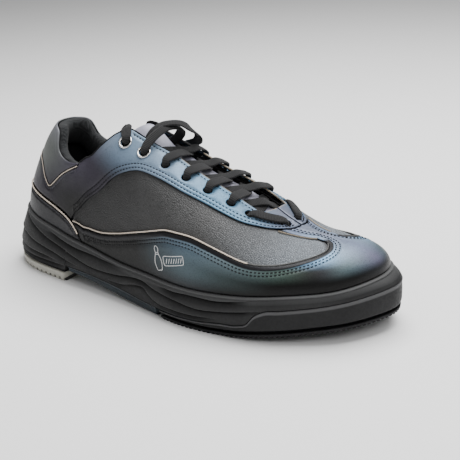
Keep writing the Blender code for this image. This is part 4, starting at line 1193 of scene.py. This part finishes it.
def tucked_end(side):
    """The rest of the strand: out of the top hole, over the edge and down inside the shoe."""
    top = EYELETS[0]
    points = out_of(top) + [(top[0] - 0.02, top[1] + 0.03, -OVER - 0.8), (4.11, 0.705, -OVER),
                               (4.04, 0.735, -0.3), (4.0, 0.73, 2.6), (4.05, 0.66, UNDER + 0.1),
                               (4.14, 0.58, 5.9), (4.26, 0.50, 6.1)]
    return [on_side(side, *p) for p in points]


def lace_points():
    """Way points of the whole lace, from one tucked end to the other."""
    strands = []
    for side in (0, 1):
        strand = front_slot(side)
        for k in range(len(EYELETS) - 1, 1, -1):
            strand += crossing(side, k, under_edge=k == len(EYELETS) - 1)
            side = 1 - side
        strands.append(strand + loose_arc(side) + tucked_end(1 - side))
    return strands[0][::-1] + [(HALF - 3.1, 1.0, 5.6)] + strands[1]


def make_lace():
    """The braid along its way points, drawn together where it passes a hole."""
    route = np.array(lace_points(), float)
    table = catmull(np.c_[under(*route.T), outward(*route.T[:2])], 6)
    d = distances(table[:, :3])
    t = np.arange(0, d[-1], 1.1)
    table = sampled(table, d, t)
    points, ahead = table[:, :3], unit(np.gradient(table[:, :3], axis=0))
    side = lace_sides(ahead, unit(table[:, 3:]))
    holes = EYELETS + [SLOT]
    at_hole = np.exp(-(nearest(points, on_skin(holes + opposite(holes), 1.5)) / 4.6) ** 4)
    half_width = LACE_WIDTH / 2 * (1 - 0.34 * at_hole)
    half_depth = 0.72 * (1 + 0.95 * at_hole)
    angle = 2 * np.pi * np.arange(14) / 14
    flat_x = np.sign(np.cos(angle)) * np.abs(np.cos(angle)) ** 0.75
    flat_y = np.sign(np.sin(angle)) * np.abs(np.sin(angle)) ** 0.55
    ring = (points[:, None] + (side * half_width[:, None])[:, None] * flat_x[None, :, None]
            + (np.cross(side, ahead) * half_depth[:, None])[:, None] * flat_y[None, :, None])
    uv = np.stack(np.broadcast_arrays(t[:, None], flat_x[None] * 0.2), -1).reshape(-1, 2)
    loft("lace_braid", ring, LACE, uv=uv, replaces=["lace"], slot="lace")


# ---------------------------------------------------------------- eyelets
def frame_at(station, rise):
    """Matrix with its Z outwards at a place on the upper."""
    turn = Vector(outward(station, rise)).to_track_quat('Z', 'X').to_matrix().to_4x4()
    return Matrix.Translation(Vector(place(skin(station, rise)))) @ turn


def lathe(name, profile, matrix, surface, steps=48, **options):
    """Ring turned from a closed profile of radius and height."""
    turn = 2 * np.pi * np.arange(steps) / steps
    radius, height = np.array(profile, float).T
    points = np.stack([np.outer(np.cos(turn), radius), np.outer(np.sin(turn), radius),
                       np.outer(np.ones(steps), height)], -1)
    world = np.array([(matrix @ Vector(p * MM))[:] for p in points.reshape(-1, 3)]) / MM + CENTRE
    faces = net(steps, len(radius), round_rows=True)
    return build(name, world, faces, surface, recalc=True, **options)


def make_eyelets():
    flare = [(3.25, -4.5), (3.25, -0.4), (3.35, 0.35), (3.7, 0.85), (4.2, 1.0), (4.65, 0.8), (4.85, 0.35),
             (4.75, 0.05), (4.2, 0.1), (3.7, -0.1), (3.5, -0.6), (3.5, -4.5)]
    roll = [(3.4, -4.7), (4.3, -4.8), (4.5, -5.2), (4.2, -5.5), (3.4, -5.4), (3.2, -5.1)]
    parts = (("eyelet", flare, "eyelet_ring"), ("eyelet_back", roll, "eyelet_washer"))
    for side in SIDES:
        for k, hole in enumerate(on(side, EYELETS[:RING_EYELETS]), 1):
            for piece, profile, stood in parts:
                lathe(f"{piece}_{side}_{k}", profile, frame_at(*hole), STEEL, slot="steel",
                      replaces=[f"{stood}_{side}_{k}"])


# ---------------------------------------------------------------- pipings, cords, stitching, mark
def make_trims():
    """Pipings, cords and bindings along the seams, and the tab at the heel."""
    bar("heel_seam_piping", around(HEEL_EDGE), -0.45, 0.5, 0.5, PIPING, replaces=["heel_piping"],
        slot="piping")
    low = smooth(INLAY_BOTTOM) + [(3.5, .078), (3.36, .076)]
    edge = smooth([(3.42, .34)] + [p for p in COLLAR_RIM if p[0] > 3.5] + EYESTAY_EDGE)
    raw = smooth([p for p in EYESTAY_EDGE if p[0] > 5.1] + [(7.26, .90), (7.27, .985)])
    for side in SIDES:
        for kind, route, radius, surface, stood in (
                ("piping", cut(low, 3, 7.8), 0.45, PIPING, [f"inlay_piping_{side}"]),
                ("cord", cut(low, 7.75, 11), 0.35, GREY_CORD, []),
                ("upper_cord", cut(smooth(INLAY_TOP), 7.9, 11), 0.3, RAW_EDGE, [])):
            bar(f"inlay_seam_{kind}_{side}", on(side, route), 0.35, radius, 0.5, surface, replaces=stood,
                slot="piping")
        bar(f"edge_binding_{side}", on(side, cut(edge, 3, 5.19)), 0.5, 0.5, 0.85, BLACK_CORD,
            slot="black_leather")
        bar(f"edge_raw_{side}", on(side, raw), 0.5, 0.3, 0.55, RAW_EDGE, slot="piping")
    cord = around(raised(smooth(COLLAR_POINT), -0.006))
    bar("collar_seam_cord", cord, -0.05, 0.32, 0.4, PIPING, slot="piping")
    bar("collar_seam_shadow_cord", shifted(cord, 0.9), -0.02, 0.4, 0.3, BLACK_CORD, slot="black_leather")
    tab = [(s, .215) for s in np.linspace(-0.55, 0.55, 24)]
    bar("heel_pull_tab", tab, -0.75, 6.0, 0.45, GREY_CORD, replaces=["heel_tab"], slot="piping", sides=14)


def make_stitching():
    dark = both(QUARTER_ROWS) + both(VAMP_ROWS) + both(EYESTAY_ROWS)
    grey = both_ends(HEEL_ROWS) + both_ends(COLLAR_ROWS)
    stitches("upper_stitching", dark, DARK_THREAD, depth=0.1, slot="textile")
    stitches("heel_stitching", grey, GREY_THREAD, depth=0.12, slot="textile", radius=0.3)


MARK_PLACE = (5.84, .16)
MARK_TILT = math.radians(20)


def mark_lines():
    """A bowling pin in outline beside a rounded label with slanting bars, in its own plane."""
    half = [(0, 0), (1.9, 0), (2.7, 2.4), (3.1, 4.9), (2.5, 7.7), (1.35, 10.2), (1.2, 11.4), (1.6, 12.9),
            (1.2, 14.3), (0, 15)]
    pin = catmull(half + [(-x, y) for x, y in half[-2:0:-1]] + [(0, 0)], 4) + np.array([-10.2, -7.3])
    neck = [[(-11.5, y), (-8.9, y)] for y in (2.6, 3.7)]
    left, right, low, high, corner = -5.2, 13.6, -4.6, 1.6, 1.3
    label = []
    for x, y, start in ((right - corner, high - corner, 0), (left + corner, high - corner, 90),
                        (left + corner, low + corner, 180), (right - corner, low + corner, 270)):
        turn = np.radians(start + np.linspace(0, 90, 6))
        label += list(zip(x + corner * np.cos(turn), y + corner * np.sin(turn)))
    bars = [[(x, low + 1.5), (x + 1.5, high - 1.5)] for x in np.arange(left + 2.0, right - 3.0, 2.3)]
    return [pin, label + label[:1]] + neck + bars


def make_mark():
    """The lines of the mark as thin raised strips on the outer side."""
    cosine, sine = math.cos(MARK_TILT), math.sin(MARK_TILT)
    turn = np.array([(cosine, sine), (-sine, cosine)])
    section = ((-.26, -.12), (-.2, .08), (.2, .08), (.26, -.12))
    rows, faces, start = [], [], 0
    for strip in mark_lines():
        flat = np.array(MARK_PLACE) + moves_for(*MARK_PLACE, even(strip, 0.8) @ turn)
        centres, normals = on_skin(flat, -0.05), outward(*flat.T)
        across = unit(np.cross(unit(np.gradient(centres, axis=0)), normals))
        rows.append(np.stack([centres + across * x + normals * z for x, z in section], 1).reshape(-1, 3))
        last = start + 4 * (len(centres) - 1)
        faces += [tuple(start + i for i in f) for f in net(len(centres), 4)]
        faces += [tuple(range(start + 3, start - 1, -1)), tuple(range(last, last + 4))]
        start += 4 * len(centres)
    build("side_mark", np.vstack(rows), faces, MARK, replaces=["emblem"], slot="piping", recalc=True)


# ---------------------------------------------------------------- sole
def spring(x):
    """How far the sole rises off the floor towards the toe."""
    return along(TOE_SPRING, x)


def wall_points(points, stations, inset=0.0):
    """Plan points and outward directions at stations all the way round."""
    here = plan(points, stations)
    ahead = plan(points, stations + 0.02) - plan(points, stations - 0.02)
    out = unit(np.stack([ahead[:, 1], -ahead[:, 0]], -1))
    return here - out * inset, out


def layer_relief(station, height):
    """How far the side of the midsole stands out at a station and height, and how much painted shade it gets
    just under each layer's edge.
    """
    half = from_heel(station)
    total, shade = np.zeros_like(height), np.zeros_like(height)
    for edge in LAYER_EDGES:
        first, last = edge[0][0], edge[-1][0]
        start = np.clip((half - first) / 0.35, 0, 1) if first > 0 else 1.0
        fade = start * np.clip((last - half) / 0.45, 0, 1)
        gap = height - along(edge, half)
        above = np.exp(-np.clip(gap, 0, None) / 2.8) * 0.8
        below = -np.exp(np.clip(gap, None, 0) / 1.6) * 2.0
        step = 1 / (1 + np.exp(-gap / 0.16))
        total += fade * (above * step + below * (1 - step))
        shade = np.maximum(shade, fade * np.exp(-np.abs(gap + 0.7) / 0.8) * (gap < 0.1))
    return total, shade


def sections(outer, out, steps):
    """Cross-sections of a wall from steps of inset and height, each one number or one for each station."""
    none = np.zeros(len(outer))
    return np.stack([np.c_[outer - out * (none + inset)[:, None], none + z] for inset, z in steps], 1)


def both_sides(half_profile, stations):
    """Sections right across the sole: the outer side's half and the inner side's half, turned round."""
    return np.concatenate([half_profile(stations), half_profile(STATIONS - stations)[:, ::-1]], axis=1)


def sole_distances(stations):
    return distances(plan(GROUND, stations))


def bridged(total, levels, level):
    """Quads that close one level of a wall round the sole, across from one side to the other."""
    faces = []
    for i in range(total // 2):
        ring = [i, i + 1, total - 2 - i, total - 1 - i]
        if len(set(ring)) == 4:
            faces.append(tuple(k * levels + level for k in ring))
    return faces


def midsole_wall(stations):
    """Rows of the midsole's side from the edge of the cup up to its lip: points, how much lighter each is
    painted (near the lip, and as a painted highlight on the bulge over each layer's edge) and its painted
    shade under those edges.
    """
    cup = from_heel(stations) > CUP_START - 0.07
    lip = wall_points(SEAM, stations, -1.6)[0]
    waist, out = wall_points(GROUND, stations)
    low = wall_points(GROUND, stations, np.where(cup, 2.9, 0.0)[:, None])[0]
    x, none = low[:, 0], np.zeros(len(stations))
    top = along(SEAM_HEIGHT, plan(SEAM, stations)[:, 0])
    floor = np.where(cup, CUP_FLOOR + spring(x), along(SHANK_TOP, x) + 0.3)
    floor = np.where(x < HEEL_FRONT, HEEL_FLOOR, floor)
    edge = np.where(cup, np.maximum(along(CUP_EDGE, waist[:, 0]) + 0.5, floor + 0.8), floor + 0.6)
    rows = [(np.c_[low, floor], none, none + 1), (np.c_[low, edge], none, none + 1)]
    for w in np.linspace(0, 1, 76):
        z = edge + (top - LIP - edge) * w
        flat = waist * (1 - w ** 1.15) + lip * w ** 1.15
        relief, shade = layer_relief(stations, z)
        swell = 1.1 * np.sin(np.pi * w) * np.clip((top - edge) / 20, 0.2, 1)
        swell = swell + relief * np.clip((z - edge) / 1.5, 0, 1)
        fade = np.clip((1 - w) / 0.08, 0, 1)
        # lighter towards the lip, and a painted highlight on the bulge over each layer's edge
        wear_and_shading_mask = np.clip(1 - (top - LIP - z) / 3.2, 0, 1) ** 0.5 * 0.45 + 0.4 * np.clip(relief, 0, 1)
        side = flat + out * (swell * fade - (1 - fade) * 0.1)[:, None]
        rows.append((np.c_[side, z], wear_and_shading_mask, np.clip(shade, 0, 1)))
    return rows, top


def make_midsole():
    """Wall with sculpted layers, a lip over its top and a recess inside for the footbed."""
    stations = np.linspace(0.02, STATIONS + 0.02, 700)
    rows, top = midsole_wall(stations)
    none = np.zeros(len(stations))
    for inset, drop in ((-1.9, 0.7), (-1.6, 0.25), (-1.0, 0.05), (0.2, 0.0), (3.0, 0.0)):
        lip = np.c_[wall_points(SEAM, stations, inset)[0], top - drop]
        # the outer part of the lip gets the lighter tone
        rows.append((lip, none + (0.9 if inset < 0.5 else 0.0), none))
    rim = wall_points(SEAM, stations, 8.0)[0]
    recess = along(FOOTBED_TOP, rim[:, 0]) - 7.2
    rows += [(np.c_[rim, top], none, none), (np.c_[rim, recess], none, none)]
    body, wear_and_shading_field, groove_shade = [np.stack(part, 1)[:-1] for part in zip(*rows)]
    total, levels = wear_and_shading_field.shape
    faces = net(total, levels, round_columns=False, round_rows=True)
    faces += bridged(total, levels, 0) + bridged(total, levels, levels - 1)
    build("midsole_body", body.reshape(-1, 3), faces, MIDSOLE, replaces=["midsole"], slot="rubber",
          fields={"wear_and_shading_field": wear_and_shading_field.reshape(-1), "groove_shade": groove_shade.reshape(-1)}, recalc=True)


def make_cup():
    def wall(s):
        outer, out = wall_points(GROUND, s)
        base = 4.5 + spring(outer[:, 0])
        edge = np.maximum(along(CUP_EDGE, outer[:, 0]), base + 1.4)
        steps = [(FLOOR_INSET, base), (1.0, base), (0.3, base + 0.3)]
        steps += [(-0.3 * math.sin(math.pi * w), base + 0.3 + (edge - 1.2 - base) * w)
                  for w in np.arange(1, 14) / 14]
        steps += [(inset, edge - drop) for inset, drop in
                  ((-0.35, 0.85), (-0.45, 0.45), (-0.1, 0.12), (0.5, 0.0), (1.4, 0.1), (2.3, 0.3))]
        steps += [(2.6, np.minimum(base + 1.2, edge - 0.3)), (FLOOR_INSET, base + 1.2)]
        return sections(outer, out, steps)

    def floor(s):
        outer, out = wall_points(GROUND, s, 8.6)
        base = 4.52 + spring(outer[:, 0])
        return sections(outer, out, [(0, base), (0, base + 1.1)])
    rings = wall(np.linspace(CUP_START, STATIONS - CUP_START, 420))
    wear_and_shading_field = np.zeros(rings.shape[:2])
    # wear: a lighter rubbed line along the top of the cup's rim
    wear_and_shading_field[:, -9:-5] = 1.0
    loft("forefoot_cup_wall", rings, CUP, replaces=["forefoot_cup"], slot="rubber",
         fields={"wear_and_shading_field": wear_and_shading_field.ravel()})
    across = both_sides(floor, np.linspace(CUP_START + 0.05, CUP_END, 120))
    loft("forefoot_cup_floor", across, CUP, slot="rubber")


def make_tread():
    def wall(s):
        outer, out = wall_points(GROUND, s, 0.5)
        base = spring(outer[:, 0])
        teeth = 0.5 + 0.5 * np.clip(4 * np.sin(2 * np.pi * sole_distances(s) / 3.4), -1, 1)
        steps = [(FLOOR_INSET, base)]
        steps += [(inset + teeth, base + z) for inset, z in
                  ((1.4, 0.0), (0.6, 0.0), (0.25, 0.25), (0.2, 1.1))]
        steps += [(inset, base + z) for inset, z in
                  ((0.05, 1.3), (0.0, 1.8), (0.05, 2.25), (0.6, 2.4), (FLOOR_INSET, 2.4))]
        return sections(outer, out, steps)

    def floor(s):
        outer, out = wall_points(GROUND, s, FLOOR_INSET)
        base = spring(outer[:, 0])
        rib = 0.25 * (np.sin(outer[:, 0] * 1.6) > 0)
        return sections(outer, out, [(0, base + 0.02 + rib), (0, base + 2.38)])
    options = {"body": "forefoot_pad_body", "slot": "rubber"}
    loft("forefoot_tread_rim", wall(np.linspace(CUP_START, STATIONS - CUP_START, 1300)), TREAD,
         replaces=["forefoot_sole_pad"], **options)
    across = both_sides(floor, np.linspace(CUP_START + 0.05, CUP_END, 300))
    loft("forefoot_tread_face", across, TREAD, **options)


def make_shank():
    def profile(s):
        outer, out = wall_points(GROUND, s, 1.0)
        low, high = along(SHANK_BOTTOM, outer[:, 0]), along(SHANK_TOP, outer[:, 0])
        steps = ((12, 0.12), (5, 0.03), (2.2, 0.0), (0.9, 0.04), (0.25, 0.16), (0.0, 0.35), (0.05, 0.62),
                 (0.35, 0.72), (0.1, 0.8), (-0.25, 0.88), (-0.3, 0.94), (0.1, 1.0), (12, 1.0))
        return sections(outer, out, [(inset, low + (high - low) * share) for inset, share in steps])
    rings = both_sides(profile, np.linspace(3.3, 5.5, 110))
    wear_and_shading_field = np.zeros(rings.shape[:2])
    # lighter along the shank's outstanding ridge
    wear_and_shading_field[:, [9, 10, -10, -11]] = 0.7
    loft("shank_bridge", rings, SHANK, replaces=["shank_outsole"], slot="shank",
         fields={"wear_and_shading_field": wear_and_shading_field.ravel()})


def make_heel_pad():
    """Pale brake pad with notches low in its side that are painted dark as painted shade; levels given as
    inset, height and share of the notch.
    """
    levels = ((8, 0, 0), (2.2, 0, 0.6), (1.0, 0.0, 1), (0.4, 0.4, 1), (0.3, 2.1, 1), (0.25, 2.5, 0),
              (0.15, 3.4, 0), (0.05, 4.4, 0), (0.0, 5.4, 0), (0.15, 6.2, 0), (0.7, 6.6, 0), (8, 6.6, 0))

    def notch(s):
        return np.clip((np.sin(2 * np.pi * sole_distances(s) / 5.4) - 0.45) * 6, 0, 1)

    def profile(s):
        steps = [(inset + 1.2 * notch(s) * share, z) for inset, z, share in levels]
        return sections(*wall_points(GROUND, s), steps)

    def wear_and_shading_mask(s):
        # where the notches get their painted shade
        return np.stack([notch(s) * (level[2] > 0) for level in levels], 1)
    stations = np.linspace(0.1, 3.17, 640)
    loft("heel_brake_pad", both_sides(profile, stations), HEEL, body="heel_pad_body", replaces=["heel_pad"],
         slot="grey_rubber", fields={"wear_and_shading_field": both_sides(wear_and_shading_mask, stations).ravel()})


def make_footbed():
    def profile(s):
        edge, out = wall_points(SEAM, s, 8.5)
        top = along(FOOTBED_TOP, edge[:, 0])
        steps = ((0, -4.0), (0, -1.6), (0.3, -0.6), (1.2, 0.0), (5, -0.3), (12, -0.9))
        return sections(edge, out, [(inset, top + z) for inset, z in steps])
    loft("footbed_cushion", both_sides(profile, np.linspace(0.9, 10.1, 120)), FOOTBED_KNIT,
         replaces=["footbed"], slot="textile")


# ---------------------------------------------------------------- carried-over nodes
def dress_cad():
    """Materials of the nodes that keep their CAD shape."""
    looks = {CUP: ("aglet_1", "aglet_2"), STEEL: ("shank_plate",),
             BOARD: ("heel_counter_stiffener", "insole_board", "toe_puff"),
             LINING_KNIT: ("eyestay_tape_lateral", "eyestay_tape_medial", "forefoot_hook_panel",
                           "forefoot_loop_layer", "heel_hook_panel", "heel_loop_layer", "vamp_lining")}
    for surface, names in looks.items():
        for name in names:
            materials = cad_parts[name].data.materials
            materials.clear()
            materials.append(surface)


# ---------------------------------------------------------------- camera, floor and light
CAMERA_LENS = 76.88
SENSOR_WIDTH = 36
CAMERA_PLACE = (0.39047, -0.48856, 0.27718)
CAMERA_TARGET = (0.01303, 0.03199, 0.03339)
CAMERA_ROLL = math.radians(-3.08)
FLOOR_REACH = 6.0


def make_camera():
    position = Vector(CAMERA_PLACE)
    forward = (Vector(CAMERA_TARGET) - position).normalized()
    right = forward.cross(Vector((0, 0, 1))).normalized()
    up = right.cross(forward)
    turned_right = right * math.cos(CAMERA_ROLL) + up * math.sin(CAMERA_ROLL)
    turned_up = up * math.cos(CAMERA_ROLL) - right * math.sin(CAMERA_ROLL)
    camera = bpy.data.cameras.new("camera")
    camera.lens = CAMERA_LENS
    camera.sensor_width = SENSOR_WIDTH
    thing = add_object("camera", camera)
    axes = Matrix((turned_right, turned_up, -forward)).transposed()
    thing.matrix_world = Matrix.Translation(position) @ axes.to_4x4()
    bpy.context.scene.camera = thing


def make_floor():
    mesh = bpy.data.meshes.new("floor")
    corners = [(x * FLOOR_REACH, y * FLOOR_REACH, 0) for x, y in ((-1, -1), (1, -1), (1, 1), (-1, 1))]
    mesh.from_pydata(corners, [], [(0, 1, 2, 3)])
    n = Nodes("floor_paint")
    n.finish(n.mix(n.noise(3, 2), (0.86, 0.86, 0.86), (0.88, 0.88, 0.88)), 0.9, Specular_IOR_Level=0.1)
    mesh.materials.append(n.material)
    add_object("floor", mesh)


def area_light(name, position, target, size, power):
    light = bpy.data.lights.new(name, 'AREA')
    light.shape = 'RECTANGLE'
    light.size, light.size_y = size
    light.energy = power
    thing = add_object(name, light)
    thing.location = position
    thing.rotation_euler = (Vector(target) - Vector(position)).to_track_quat('-Z', 'Y').to_euler()


def make_light():
    world = bpy.data.worlds.new("studio")
    bpy.context.scene.world = world
    world.use_nodes = True
    back = world.node_tree.nodes["Background"]
    back.inputs[0].default_value = (1, 1, 1, 1)
    back.inputs[1].default_value = 0.26
    area_light("top", (0.10, 0.28, 1.0), (0, 0, 0.05), (1.1, 0.7), 27)
    area_light("key", (0.85, -0.45, 0.85), (0.05, 0, 0.05), (0.5, 0.5), 5)
    area_light("side", (-0.6, -0.9, 0.7), (0, 0, 0.05), (0.5, 0.5), 1.0)


make_camera()
make_floor()
make_light()
make_quarters()
make_vamp()
make_heel_and_collar()
make_inlays()
make_linings()
make_collar()
make_tongue()
make_lace()
make_eyelets()
make_trims()
make_stitching()
make_mark()
make_midsole()
make_cup()
make_tread()
make_shank()
make_heel_pad()
make_footbed()
dress_cad()
